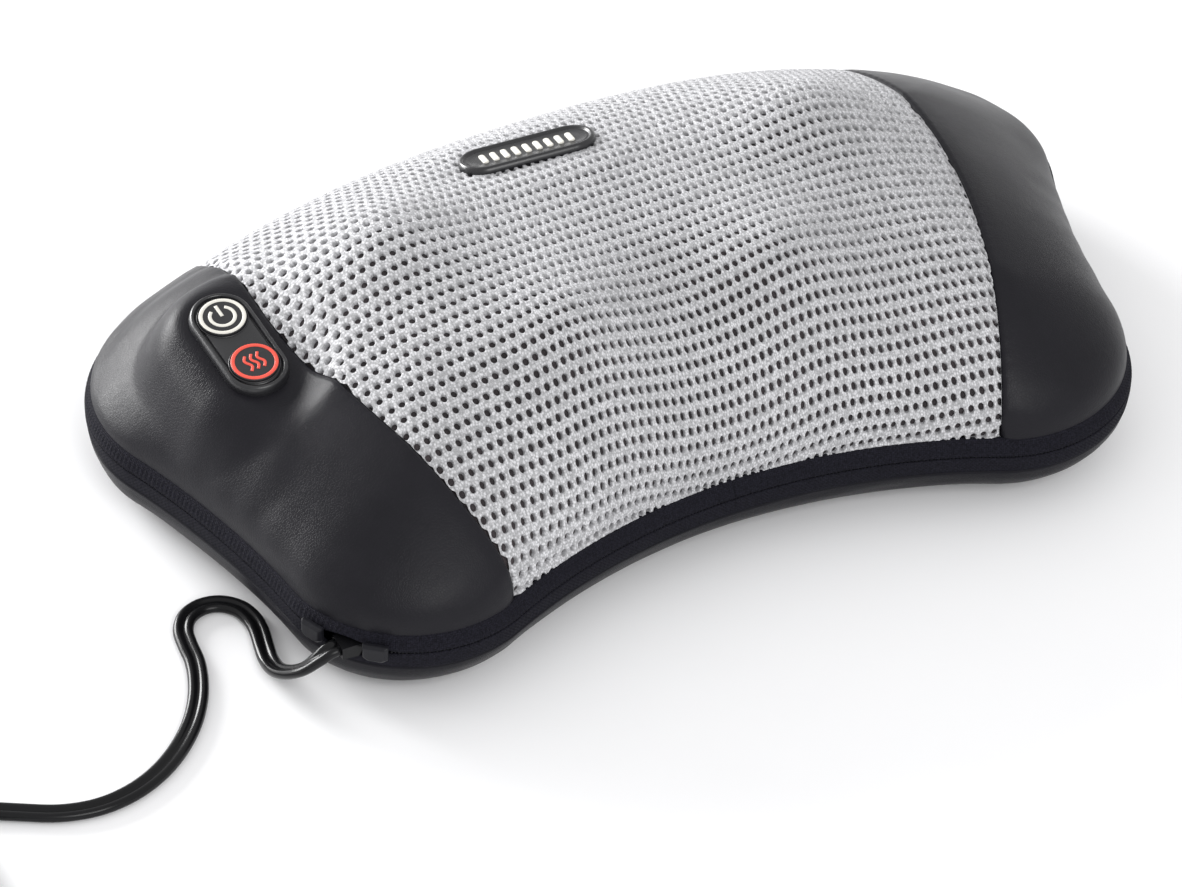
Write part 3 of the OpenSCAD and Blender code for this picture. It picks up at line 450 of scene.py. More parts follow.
def swept_line(name, path, section, material, matrix=None, closed=False, **options):
    """A tube of a given section (side, up offsets) along a path of points, with flat caps."""
    path = np.asarray(path, float)
    if closed:
        tangents = unit(np.roll(path, -1, 0) - np.roll(path, 1, 0))
    else:
        tangents = unit(np.gradient(path, axis=0))
    up = np.array([0.0, 0.0, 1.0])
    side = unit(np.cross(up, tangents))
    top = np.cross(tangents, side)
    count = len(section)
    points = np.stack([path + side * a + top * b for a, b in section], 1).reshape(-1, 3)
    faces = grid_faces(len(path), count, ring_rows=closed, ring_columns=True, flip=True)
    if not closed:
        faces.append(list(range(count)))
        faces.append(list(range((len(path) - 1) * count, len(path) * count))[::-1])
    if matrix is not None:
        points = [matrix @ Vector(p) for p in points]
    return add_mesh(name, points, faces, material, **options)


def oval_section(width, height, count=12):
    """Points of an oval, as side and up offsets."""
    angles = np.radians(np.arange(count) * 360 / count)
    return [(width / 2 * math.cos(a), height / 2 * math.sin(a)) for a in angles]


def stadium(length, width, steps=24):
    """Points of a stadium outline, anticlockwise, with its long way along X."""
    run = (length - width) / 2
    right = [unit2(-90 + 180 * i / steps) * width / 2 + (run, 0) for i in range(steps + 1)]
    left = [unit2(90 + 180 * i / steps) * width / 2 - (run, 0) for i in range(steps + 1)]
    return np.array(right + left)


def stadium_dish(name, length, width, profile, matrix, material, **options):
    """A stadium-shaped moulding: profile is a list of (inset, height) from the outer foot to the middle."""
    rings = []
    for inset, height in profile:
        flat = stadium(length - 2 * inset, max(width - 2 * inset, 0.02 * MM))
        rings.append(np.concatenate([flat, np.full((len(flat), 1), height)], 1))
    count = len(rings[0])
    faces = grid_faces(len(rings), count, ring_columns=True)
    faces.append(list(range((len(rings) - 1) * count, len(rings) * count)))
    points = [matrix @ Vector(p) for p in np.concatenate(rings)]
    return add_mesh(name, points, faces, material, **options)


# ---- Shader groups and materials ----
class Wiring:
    """Adds and links nodes in one node tree."""

    def __init__(self, tree):
        self.tree = tree

    def add(self, kind, inputs=None, **settings):
        """A node with its settings, and its inputs set to values or linked to sockets."""
        node = self.tree.nodes.new("ShaderNode" + kind)
        for key, value in settings.items():
            setattr(node, key, value)
        for key, value in (inputs or {}).items():
            if isinstance(value, bpy.types.NodeSocket):
                self.tree.links.new(value, node.inputs[key])
            else:
                node.inputs[key].default_value = value
        return node

    def maths(self, operation, *values, clamp=False):
        """The output of a math node."""
        node = self.add("Math", dict(enumerate(values)), operation=operation, use_clamp=clamp)
        return node.outputs[0]

    def mix(self, share, first, second):
        """A colour between two colours."""
        node = self.add("Mix", data_type="RGBA")
        for index, value in ((0, share), (6, first), (7, second)):
            if isinstance(value, bpy.types.NodeSocket):
                self.tree.links.new(value, node.inputs[index])
            else:
                node.inputs[index].default_value = value
        return node.outputs[2]

    def ramp(self, value, low, high, out_low=0.0, out_high=1.0):
        """A value stretched from one range to another, with soft ends."""
        inputs = {"Value": value, "From Min": low, "From Max": high, "To Min": out_low, "To Max": out_high}
        return self.add("MapRange", inputs, interpolation_type="SMOOTHSTEP").outputs[0]

    def noise(self, vector, scale, detail=3.0, roughness=0.55):
        """The value of a noise texture."""
        inputs = {"Vector": vector, "Scale": scale, "Detail": detail, "Roughness": roughness}
        return self.add("TexNoise", inputs).outputs["Fac"]


def shader_group(name, inputs, outputs, build):
    """A node group made once: inputs are (name, type, value), outputs (name, type), and build wires it."""
    found = bpy.data.node_groups.get(name)
    if found:
        return found
    tree = bpy.data.node_groups.new(name, "ShaderNodeTree")
    for title, kind, value in inputs:
        socket = tree.interface.new_socket(name=title, in_out="INPUT", socket_type=kind)
        if value is not None:
            socket.default_value = value
    for title, kind in outputs:
        tree.interface.new_socket(name=title, in_out="OUTPUT", socket_type=kind)
    entry, leave = tree.nodes.new("NodeGroupInput"), tree.nodes.new("NodeGroupOutput")
    for title, socket in build(Wiring(tree), entry.outputs).items():
        tree.links.new(socket, leave.inputs[title])
    return tree


VALUE, VECTOR, COLOUR = "NodeSocketFloat", "NodeSocketVector", "NodeSocketColor"


def wear_group():
    """Slow changes of tone and gloss, as handling, dust and soft cloth leave them."""

    def build(w, entry):
        slow = w.noise(entry["Vector"], entry["Scale"], 2.0)
        fine = w.noise(entry["Vector"], w.maths("MULTIPLY", entry["Scale"], 9.0), 4.0)
        blend = w.maths("ADD", w.maths("MULTIPLY", slow, 0.7), w.maths("MULTIPLY", fine, 0.3))
        return {"Mask": w.ramp(blend, 0.32, 0.68)}

    inputs = [("Vector", VECTOR, None), ("Scale", VALUE, 30.0)]
    return shader_group("handling_wear", inputs, [("Mask", VALUE)], build)


def hide_group():
    """Pebbled grain of a leatherette."""

    def build(w, entry):
        place = {"Vector": entry["Vector"], "Scale": entry["Scale"]}
        cells = w.add("TexVoronoi", place, feature="DISTANCE_TO_EDGE")
        pebble = w.ramp(cells.outputs["Distance"], 0.0, 0.16)
        crease = w.noise(entry["Vector"], w.maths("MULTIPLY", entry["Scale"], 0.35), 5.0, 0.6)
        return {"Height": w.maths("ADD", w.maths("MULTIPLY", pebble, 0.5), crease), "Valley": pebble}

    inputs = [("Vector", VECTOR, None), ("Scale", VALUE, 900.0)]
    return shader_group("hide_grain", inputs, [("Height", VALUE), ("Valley", VALUE)], build)


def weave_group():
    """Plain weave in the cloth's own directions: X and Y of the vector are distances along and across it."""

    def build(w, entry):
        split = w.add("SeparateXYZ", {"Vector": entry["Vector"]})
        along = w.maths("MULTIPLY", split.outputs["X"], entry["Threads"])
        across = w.maths("MULTIPLY", split.outputs["Y"], entry["Threads"])
        warp = w.maths("ABSOLUTE", w.maths("SINE", w.maths("MULTIPLY", along, math.pi)))
        weft = w.maths("ABSOLUTE", w.maths("SINE", w.maths("MULTIPLY", across, math.pi)))
        cells = w.maths("ADD", w.maths("FLOOR", along), w.maths("FLOOR", across))
        over = w.maths("GREATER_THAN", w.maths("FLOORED_MODULO", cells, 2.0), 0.5)
        low = w.maths("MULTIPLY", weft, w.maths("SUBTRACT", 1.0, over))
        height = w.maths("ADD", w.maths("MULTIPLY", warp, over), low)
        # The second output is the mask of painted shade: 0 where the weave lies low between the threads, 1 on
        # the thread tops.
        return {"Height": height, "Gap": w.ramp(height, 0.0, 0.55)}

    inputs = [("Vector", VECTOR, None), ("Threads", VALUE, 2000.0)]
    return shader_group("plain_weave", inputs, [("Height", VALUE), ("Gap", VALUE)], build)


def fibre_group():
    """Fine fuzz and grit: a mask and a height."""

    def build(w, entry):
        grit = w.noise(entry["Vector"], entry["Scale"], 6.0, 0.7)
        return {"Height": grit, "Mask": w.ramp(grit, 0.35, 0.65)}

    inputs = [("Vector", VECTOR, None), ("Scale", VALUE, 1500.0)]
    return shader_group("fine_fibre", inputs, [("Height", VALUE), ("Mask", VALUE)], build)


def rgba(colour, gain=1.0):
    """A colour with alpha, brightened or darkened."""
    return (*(min(1.0, c * gain) for c in colour), 1.0)


class Finish:
    """One material being wired: the shader, frame coordinates and helpers for its tone and relief."""

    def __init__(self, name, roughness, metallic=0.0, coat=0.0, sheen=0.0, specular=0.5):
        self.material = bpy.data.materials.new(f"{name}_finish")
        self.material.use_nodes = True
        tree = self.material.node_tree
        self.w = Wiring(tree)
        self.shader = tree.nodes["Principled BSDF"]
        self.shader.inputs["Roughness"].default_value = roughness
        self.shader.inputs["Metallic"].default_value = metallic
        self.shader.inputs["Coat Weight"].default_value = coat
        self.shader.inputs["Coat Roughness"].default_value = 0.25
        self.shader.inputs["Sheen Weight"].default_value = sheen
        self.shader.inputs["Specular IOR Level"].default_value = specular
        self.place = self.w.add("TexCoord").outputs["Object"]
        self.cloth = self.w.add("Attribute", attribute_name="cloth_at").outputs["Vector"]

    def group(self, tree, **inputs):
        """A shader group placed in this material."""
        node = self.w.add("Group", node_tree=tree)
        for key, value in inputs.items():
            if isinstance(value, bpy.types.NodeSocket):
                self.w.tree.links.new(value, node.inputs[key])
            else:
                node.inputs[key].default_value = value
        return node.outputs

    def tone(self, share, first, second):
        """Colours the shader between two colours."""
        self.w.tree.links.new(self.w.mix(share, first, second), self.shader.inputs["Base Color"])

    def gloss(self, share, low, high):
        """Lets the roughness vary between two values."""
        self.w.tree.links.new(self.w.ramp(share, 0.0, 1.0, low, high), self.shader.inputs["Roughness"])

    def relief(self, height, distance, strength=1.0):
        """Raises a height, in metres at full value, as bump."""
        bump = self.w.add("Bump", {"Height": height, "Distance": distance, "Strength": strength})
        self.w.tree.links.new(bump.outputs["Normal"], self.shader.inputs["Normal"])


def moulded(
    name, colour, roughness, grain=2500.0, depth=0.00003, metallic=0.0, coat=0.0, contrast=0.12, specular=0.5
):
    """A moulded, cast or turned finish with fine grit and handling wear."""
    f = Finish(name, roughness, metallic, coat, specular=specular)
    wear = f.group(wear_group(), Vector=f.place, Scale=60.0)["Mask"]
    grit = f.group(fibre_group(), Vector=f.place, Scale=grain)
    f.tone(wear, rgba(colour, 1 - contrast), rgba(colour, 1 + contrast))
    f.gloss(wear, roughness * 0.85, min(1.0, roughness * 1.15))
    f.relief(grit["Height"], depth)
    return f.material


def mesh_yarn(colour):
    """Knitted polyester yarn: loops along the cloth, fuzz, and a little painted shade in the valleys between
    the loops.
    """
    f = Finish("mesh_yarn", 0.62, specular=0.35)
    warp = f.w.add("VectorMath", {0: f.cloth, 1: (1.0, 0.62, 1.0)}, operation="MULTIPLY").outputs[0]
    loops = f.w.add("TexVoronoi", {"Vector": warp, "Scale": 1500.0, "Randomness": 0.75}, feature="F1")
    # Sinks between the knit loops: used as the bump's depth and as the mask of painted shade there.
    loop_valley_depth_and_shade = f.w.ramp(loops.outputs["Distance"], 0.15, 0.75)
    fuzz = f.group(fibre_group(), Vector=f.place, Scale=2600.0)
    wear = f.group(wear_group(), Vector=f.place, Scale=22.0)["Mask"]
    # Painted shade: the yarn darkens towards 0.42 of its colour in the valleys between the loops, mixed with
    # random fuzz tone.
    shade = f.w.maths("ADD", f.w.maths("MULTIPLY", loop_valley_depth_and_shade, 0.65), f.w.maths("MULTIPLY", fuzz["Mask"], 0.35))
    light = f.w.mix(wear, rgba(colour, 1.12), rgba(colour, 1.3))
    f.tone(shade, light, rgba(colour, 0.42))
    f.relief(f.w.maths("SUBTRACT", fuzz["Height"], loop_valley_depth_and_shade), 0.00016)
    return f.material


def mesh_backing(colour):
    """Dark lower layer of the spacer cloth."""
    f = Finish("mesh_backing", 0.85, sheen=0.1)
    weave = f.group(weave_group(), Vector=f.cloth, Threads=1500.0)
    wear = f.group(wear_group(), Vector=f.place, Scale=40.0)["Mask"]
    # Painted shade: darker where the weave lies low between the threads, times random wear.
    f.tone(f.w.maths("MULTIPLY", weave["Gap"], wear), rgba(colour, 0.6), rgba(colour, 1.7))
    f.relief(weave["Height"], 0.0001)
    return f.material


def hide(name, colour, roughness, grain=1100.0, depth=0.00005, specular=0.15):
    """Soft-touch leatherette with fine pebbles and cloudy sheen."""
    f = Finish(name, roughness, specular=specular)
    pebbles = f.group(hide_group(), Vector=f.place, Scale=grain)
    wear = f.group(wear_group(), Vector=f.place, Scale=16.0)["Mask"]
    f.tone(wear, rgba(colour, 0.9), rgba(colour, 1.14))
    f.gloss(wear, roughness * 0.92, roughness * 1.1)
    f.relief(pebbles["Height"], depth)
    return f.material


def woven(name, colour, threads=1500.0, depth=0.00012, roughness=0.8):
    """Fine woven tape or cloth, laid along the piece's own directions, with painted shade between its
    threads.
    """
    f = Finish(name, roughness, specular=0.1)
    weave = f.group(weave_group(), Vector=f.cloth, Threads=threads)
    fuzz = f.group(fibre_group(), Vector=f.place, Scale=1700.0)
    # Painted shade: darker where the weave lies low between the threads, times random fuzz tone.
    f.tone(f.w.maths("MULTIPLY", weave["Gap"], fuzz["Mask"]), rgba(colour, 0.62), rgba(colour, 1.9))
    f.relief(f.w.maths("ADD", weave["Height"], fuzz["Height"]), depth)
    return f.material


class Finishes:
    """Every material of the massager, each made when it is first asked for."""

    def __init__(self, scene):
        cloth, controls, cord = scene.massager_cloth, scene.massager_controls, scene.massager_cord
        self.recipes = {
            "mesh_yarn": lambda: mesh_yarn(cloth.mesh_colour),
            "mesh_backing": lambda: mesh_backing(cloth.backing_colour),
            "end_hide": lambda: hide("end_hide", cloth.hide_colour, 0.36),
            "lower_hide": lambda: hide("lower_hide", cloth.hide_colour, 0.34, grain=1400.0, specular=0.07),
            "zip_tape": lambda: woven("zip_tape", cloth.tape_colour),
            "base_cloth": lambda: woven("base_cloth", cloth.tape_colour, threads=900.0, depth=0.0002),
            "thread": lambda: moulded("thread", (0.008, 0.008, 0.010), 0.7, 3500.0, 0.00006),
            "zip_nylon": lambda: moulded("zip_nylon", (0.006, 0.006, 0.008), 0.42, specular=0.2),
            "slider_enamel": lambda: moulded("slider_enamel", (0.009, 0.009, 0.012), 0.40, specular=0.2),
            "pad_plastic": lambda: moulded(
                "pad_plastic", controls.pad_colour, 0.30, 1800.0, 0.00002, coat=0.15
            ),
            "button_black": lambda: moulded("button_black", (0.016, 0.016, 0.018), 0.42, 2200.0, 0.00003),
            "power_mark": lambda: moulded("power_mark", controls.power_colour, 0.42, contrast=0.03),
            "heat_mark": lambda: moulded("heat_mark", controls.heat_colour, 0.42, contrast=0.04),
            "cord_rubber": lambda: moulded(
                "cord_rubber", cord.cord_colour, 0.22, 1500.0, 0.00001, specular=0.22
            ),
            "cord_tie": lambda: woven("cord_tie", (0.015, 0.015, 0.016), threads=1100.0),
            "steel": lambda: moulded(
                "steel", (0.56, 0.57, 0.58), 0.28, 4000.0, 0.00001, metallic=1.0, contrast=0.06
            ),
            "motor_steel": lambda: moulded(
                "motor_steel", (0.42, 0.43, 0.44), 0.36, metallic=1.0, contrast=0.08
            ),
            "brass": lambda: moulded("brass", (0.72, 0.50, 0.20), 0.30, metallic=1.0, contrast=0.08),
            "bronze": lambda: moulded("bronze", (0.45, 0.27, 0.13), 0.42, metallic=1.0, contrast=0.10),
            "gear_nylon": lambda: moulded("gear_nylon", (0.72, 0.69, 0.60), 0.45, contrast=0.05),
            "casing_plastic": lambda: moulded("casing_plastic", (0.55, 0.56, 0.58), 0.5, 1800.0, 0.00005),
            "arm_plastic": lambda: moulded("arm_plastic", (0.06, 0.06, 0.065), 0.5, 1500.0, 0.00006),
            "node_rubber": lambda: moulded("node_rubber", (0.05, 0.05, 0.055), 0.62, 1300.0, 0.00008),
            "foam": lambda: moulded("foam", (0.62, 0.58, 0.44), 0.95, 700.0, 0.0005, contrast=0.10),
            "circuit_board": lambda: moulded("circuit_board", (0.02, 0.14, 0.05), 0.35, coat=0.3),
            "lamp_glass": lambda: moulded("lamp_glass", (0.75, 0.16, 0.06), 0.12, coat=0.4, contrast=0.05),
        }
        self.made = {}

    def __getitem__(self, name):
        if name not in self.made:
            self.made[name] = bpy.data.materials.get(f"{name}_finish") or self.recipes[name]()
        return self.made[name]


# ---- Operators: stage ----
class MASSAGER_OT_stage(bpy.types.Operator):
    """Makes the floor, the lights and the camera"""

    bl_idname = "massager.stage"
    bl_label = "Stage"

    target = Vector((-0.03428, -0.04307, 0.035))
    # Each light: name, place, side in metres and power in watts.
    softboxes = (
        ("key_light", (-0.8, 1.8, 0.55), 0.9, 52.0),
        ("rim_light", (-1.60, 1.60, 0.24), 0.7, 20.0),
        ("front_light", (-0.1, -1.9, 1.6), 1.2, 24.0),
    )
    sky_strength = 0.80
    floor_half = 4.0
    floor_z = -0.2 * MM

    def softbox(self, name, place, size, power):
        """A square area light turned to the pillow."""
        light = bpy.data.lights.new(name, "AREA")
        light.size = size
        light.energy = power
        lamp = bpy.data.objects.new(name, light)
        bpy.context.scene.collection.objects.link(lamp)
        lamp.location = place
        lamp.rotation_mode = "QUATERNION"
        lamp.rotation_quaternion = (self.target - Vector(place)).to_track_quat("-Z", "Y")

    def camera(self, s):
        """The camera, looking at the target."""
        az, el, roll = (math.radians(v) for v in (s.azimuth, s.elevation, s.roll))
        right = Vector((math.cos(az), math.sin(az), 0))
        back = Vector((math.sin(az) * math.cos(el), -math.cos(az) * math.cos(el), math.sin(el)))
        up = back.cross(right)
        x = right * math.cos(roll) + up * math.sin(roll)
        y = up * math.cos(roll) - right * math.sin(roll)
        data = bpy.data.cameras.new("camera")
        data.lens = s.lens
        data.sensor_width = 36
        data.clip_start = 0.05
        data.clip_end = 50
        eye = bpy.data.objects.new("camera", data)
        bpy.context.scene.collection.objects.link(eye)
        turned = Matrix((x, y, back)).transposed().to_4x4()
        eye.matrix_world = Matrix.Translation(self.target + back * s.distance) @ turned
        bpy.context.scene.camera = eye

    def floor(self, s):
        """A wide plain floor just under the pillow."""
        floor = Finish("studio_floor", 0.85, specular=0.1)
        wear = floor.group(wear_group(), Vector=floor.place, Scale=3.0)["Mask"]
        floor.tone(wear, rgba(s.floor_colour, 0.99), rgba(s.floor_colour, 1.01))
        signs = ((-1, -1), (1, -1), (1, 1), (-1, 1))
        corners = [(x * self.floor_half, y * self.floor_half, self.floor_z) for x, y in signs]
        mesh = bpy.data.meshes.new("floor")
        mesh.from_pydata(corners, [], [(0, 1, 2, 3)])
        mesh.materials.append(floor.material)
        plane = bpy.data.objects.new("floor", mesh)
        bpy.context.scene.collection.objects.link(plane)

    def execute(self, context):
        s = context.scene.massager_stage
        self.camera(s)
        self.floor(s)
        for light in self.softboxes:
            self.softbox(*light)
        world = bpy.data.worlds.new("studio")
        world.use_nodes = True
        sky = world.node_tree.nodes["Background"]
        sky.inputs["Color"].default_value = (1.0, 1.0, 1.0, 1.0)
        sky.inputs["Strength"].default_value = self.sky_strength
        context.scene.world = world
        context.scene.view_settings.view_transform = "Standard"
        return {"FINISHED"}


# ---- Operators: cord ----
# Where the cord lies, from the zip to the coil.
ROUTE = [
    (-0.137, -0.080, 0.023), (-0.1394, -0.0799, 0.0228), (-0.1428, -0.0792, 0.0202),
    (-0.1464, -0.0764, 0.0152), (-0.1488, -0.071, 0.010), (-0.1498, -0.0642, 0.0056),
    (-0.149, -0.0565, 0.0025), (-0.1476, -0.050, 0.0017), (-0.146, -0.043, 0.0017),
    (-0.1456, -0.037, 0.0017), (-0.1472, -0.031, 0.0017), (-0.1516, -0.0266, 0.0017),
    (-0.1574, -0.0254, 0.0017), (-0.163, -0.0276, 0.0017), (-0.1666, -0.0326, 0.0017),
    (-0.168, -0.039, 0.0017), (-0.169, -0.0465, 0.0017), (-0.1715, -0.0545, 0.0017),
    (-0.1756, -0.063, 0.0017), (-0.1816, -0.0716, 0.0017), (-0.1896, -0.0796, 0.0017),
    (-0.199, -0.086, 0.0017), (-0.2095, -0.090, 0.0017), (-0.2205, -0.091, 0.0017),
    (-0.2315, -0.0885, 0.0017), (-0.242, -0.083, 0.0017), (-0.255, -0.0754, 0.0017),
    (-0.2686, -0.0674, 0.0017),
]


class MASSAGER_OT_cord(bpy.types.Operator):
    """Lays the flat cord with its coil, tie and plug"""

    bl_idname = "massager.cord"
    bl_label = "Cord"

    coil_c = np.array([-0.3075, -0.096])
    coil_first = 59.4
    turns_in = 3.0
    turns_out = 3.25
    steps_per_turn = 36
    tie_angle = 285.0
    plug_at = np.array([-0.369, -0.104, 0.0052])
    plug_heading = 240.0

    def coil(self, s):
        """The coil's turns: a spiral inwards on the floor, then outwards on top of it."""
        pitch, low, rise = s.width + 0.2 * MM, s.thickness / 2 + 0.4 * MM, s.thickness + 0.1 * MM
        outer = s.coil_r + 1.4 * pitch
        path = []
        for i in range(int((self.turns_in + self.turns_out) * self.steps_per_turn) + 1):
            turn = i / self.steps_per_turn
            radius = outer - pitch * min(turn, self.turns_in) + pitch * max(0.0, turn - self.turns_in)
            z = low + rise * float(smooth((turn - self.turns_in + 0.15) / 0.3))
            z -= 0.4 * MM * (1 - float(smooth(turn / 0.3)))
            path.append((*(self.coil_c + radius * unit2(self.coil_first + 360 * turn)), z))
        return path

    def path(self, s):
        """The cord's whole centreline, smoothed."""
        coil = self.coil(s)
        last = np.array(coil[-1])
        dip = (last + self.plug_at) / 2 - np.array([0, 0, 2.6 * MM])
        knots = np.array(ROUTE + coil + [tuple(dip), tuple(self.plug_at)])
        before, after = 2 * knots[0] - knots[1], 2 * knots[-1] - knots[-2]
        padded = np.vstack([before, knots, after])
        smoothed = []
        for i in range(len(knots) - 1):
            a, b, c, d = padded[i : i + 4]
            steps = max(1, int(round(np.linalg.norm(c - b) / (1.6 * MM))))
            for t in np.arange(steps) / steps:
                twice = 2 * b + (c - a) * t + (2 * a - 5 * b + 4 * c - d) * t**2
                smoothed.append(0.5 * (twice + (3 * b - a - 3 * c + d) * t**3))
        return np.array(smoothed + [knots[-1]])

    def twin_section(self, s):
        """Section of a twin lead: round lobes with a groove between them."""
        lobe = s.thickness * 0.46
        centre = s.width / 2 - lobe
        turns = np.radians(np.linspace(-126, 126, 9))
        right = [(centre + lobe * math.cos(a), lobe * math.sin(a)) for a in turns]
        left = [(-x, -y) for x, y in right]
        web = 0.3 * lobe
        return [*right, (0.0, web), *left, (0.0, -web)]

    def tie(self, s, material):
        """A soft tie round the coil's turns."""
        pitch = s.width + 0.2 * MM
        inner, outer = s.coil_r - 1.6 * pitch - s.width / 2, s.coil_r + 1.4 * pitch + s.width / 2 + 0.4 * MM
        high = 2 * s.thickness + 1.0 * MM
        along, across = unit2(self.tie_angle), unit2(self.tie_angle + 90)
        middle = (inner + outer) / 2
        loop = []
        for x, y in stadium(outer - inner + 2.4 * MM, high, 10):
            loop.append((*(self.coil_c + along * (middle + x)), y + high / 2 + 0.1 * MM))
        loop = np.array(loop)
        strap = 9.0 * MM
        points, count = [], len(loop)
        centre = loop.mean(0)
        for offset, grow in ((-0.5, 0.0), (-0.5, 0.6), (0.5, 0.6), (0.5, 0.0)):
            shift = np.append(across * strap * offset, 0.0)
            points.append(loop + shift + unit(loop - centre) * grow * MM * np.array([1, 1, 0.25]))
        faces = grid_faces(4, count, ring_rows=True, ring_columns=True)
        grid = np.concatenate(points)
        along, across = np.tile(np.arange(count) * 1.2 * MM, 4), np.repeat([0, 0, strap, strap], count)
        cloth = np.stack([along, across, grid[:, 2]], -1)
        return add_mesh("cord_tie", grid, faces, material, slot="zip_tape", cloth=cloth)

    def plug(self, finishes):
        """A barrel plug with a ribbed strain relief."""
        matrix = Matrix.Translation(self.plug_at) @ Matrix.Rotation(math.radians(self.plug_heading), 4, "Z")
        matrix = matrix @ Matrix.Rotation(math.radians(90), 4, "Y")
        relief = [(3.5, -13.0), (3.7, -13.0)]
        for rib in range(6):
            z = -12.6 + 2.1 * rib
            grow = 0.12 * rib
            rib, gap = 3.75 + grow, 3.35 + grow
            relief += [(rib, z), (rib, z + 1.2), (gap, z + 1.4), (gap, z + 1.9)]
        body = [(4.6, 0.0), (5.0, 0.3), (5.2, 0.9), (5.2, 5.0)]
        for groove in range(5):
            z = 6.0 + 2.4 * groove
            body += [(5.2, z), (4.85, z + 0.35), (4.85, z + 1.1), (5.2, z + 1.45)]
        body += [(5.2, 22.4), (4.9, 23.6), (4.2, 24.0)]
        profile = [(r * MM, h * MM) for r, h in relief + body]
        rubber = finishes["cord_rubber"]
        grip = lathe("plug_body", profile, matrix, rubber, slot="cord_rubber", replaces=("dc_plug",))
        barrel = [(2.75, 23.5), (2.75, 33.6), (2.5, 34.0), (1.35, 34.0), (1.1, 33.6), (1.1, 27.0)]
        profile = [(r * MM, h * MM) for r, h in barrel]
        sleeve = lathe("plug_barrel", profile, matrix, finishes["steel"], slot="steel")
        return [grip, sleeve]

    def execute(self, context):
        s = context.scene.massager_cord
        finishes = Finishes(context.scene)
        path = self.path(s)
        cord = swept_line(
            "flat_cord", path, self.twin_section(s), finishes["cord_rubber"],
            slot="cord_rubber", replaces=("power_cord", "cord_coil"),
        )
        pieces = self.plug(finishes)
        pieces.append(self.tie(s, finishes["cord_tie"]))
        run = float(np.linalg.norm(np.diff(path, axis=0), axis=1).sum())
        if abs(run - s.length) > 0.1 * s.length:
            raise RuntimeError(f"the cord's route is {run:.3f} m long")
        tuple(ROUTE[0])
        return {"FINISHED"}


# ---- Operators: cover ----
def ripple(x, y):
    """Slow unevenness of a stuffed cover, from -1 to 1."""
    waves = (
        (0.45, 61.0, 23.0, 0.4), (0.25, -37.0, 88.0, 1.9), (0.2, 104.0, -71.0, 3.1), (0.1, 190.0, 143.0, 5.0)
    )
    return sum(k * np.sin(a * x + b * y + c) for k, a, b, c in waves)


class SurfaceTable:
    """The cover between its seams, laid out by distance along X and by distance over the surface along Y."""

    zero_y = 0.020

    def __init__(self, cover, reach=0.1135, columns=228, step=0.25 * MM):
        self.x = np.linspace(-reach, reach, columns)
        dense = (1 - np.cos(np.linspace(0, math.pi, 1600))) / 2
        back, front = cover.back_edge(self.x), cover.front_edge(self.x)
        y = back[:, None] + (front - back)[:, None] * dense[None, :]
        x = np.broadcast_to(self.x[:, None], y.shape)
        z = cover.surface_z(x, y)
        z[:, 0] = z[:, -1] = cover.cover_z
        legs = np.cumsum(np.hypot(np.diff(y), np.diff(z)), axis=1)
        run = np.concatenate([np.zeros((columns, 1)), legs], axis=1)
        start = np.array([np.interp(-self.zero_y, -y[i], run[i]) for i in range(columns)])
        run = run - start[:, None]
        self.back, self.front = run[:, 0], run[:, -1]
        self.s0, self.step = float(self.back.min()), step
        grid = np.arange(self.s0, float(self.front.max()) + step, step)
        self.rows = len(grid)
        lay = [np.stack([np.interp(grid, run[i], v[i]) for i in range(columns)]) for v in (y, z)]
        place = np.stack([np.broadcast_to(self.x[:, None], lay[0].shape), *lay], -1)
        normal = np.cross(np.gradient(place, axis=1), np.gradient(place, axis=0))
        self.place, self.normal = place, unit(normal)

    def at(self, x, s):
        """Places and normals at x and at the distance s from the zero line, towards the front."""
        fx = np.clip((x - self.x[0]) / (self.x[1] - self.x[0]), 0, len(self.x) - 1.001)
        back = np.interp(x, self.x, self.back)
        front = np.interp(x, self.x, self.front)
        held = np.clip(s, back + 0.3 * MM, front - 0.3 * MM)
        fs = np.clip((held - self.s0) / self.step, 0, self.rows - 1.001)
        i, j = fx.astype(int), fs.astype(int)
        a, b = (fx - i)[..., None], (fs - j)[..., None]
        found = []
        for table in (self.place, self.normal):
            low = table[i, j] * (1 - b) + table[i, j + 1] * b
            high = table[i + 1, j] * (1 - b) + table[i + 1, j + 1] * b
            found.append(low * (1 - a) + high * a)
        place, normal = found[0], unit(found[1])
        over = np.clip(np.maximum(s - front + 0.3 * MM, back + 0.3 * MM - s), 0, 2.2 * MM)[..., None]
        level = unit(normal * np.array([1, 1, 0.0]))
        place = place - over * np.array([0, 0, 0.9]) - level * over * 0.35
        return place, normal


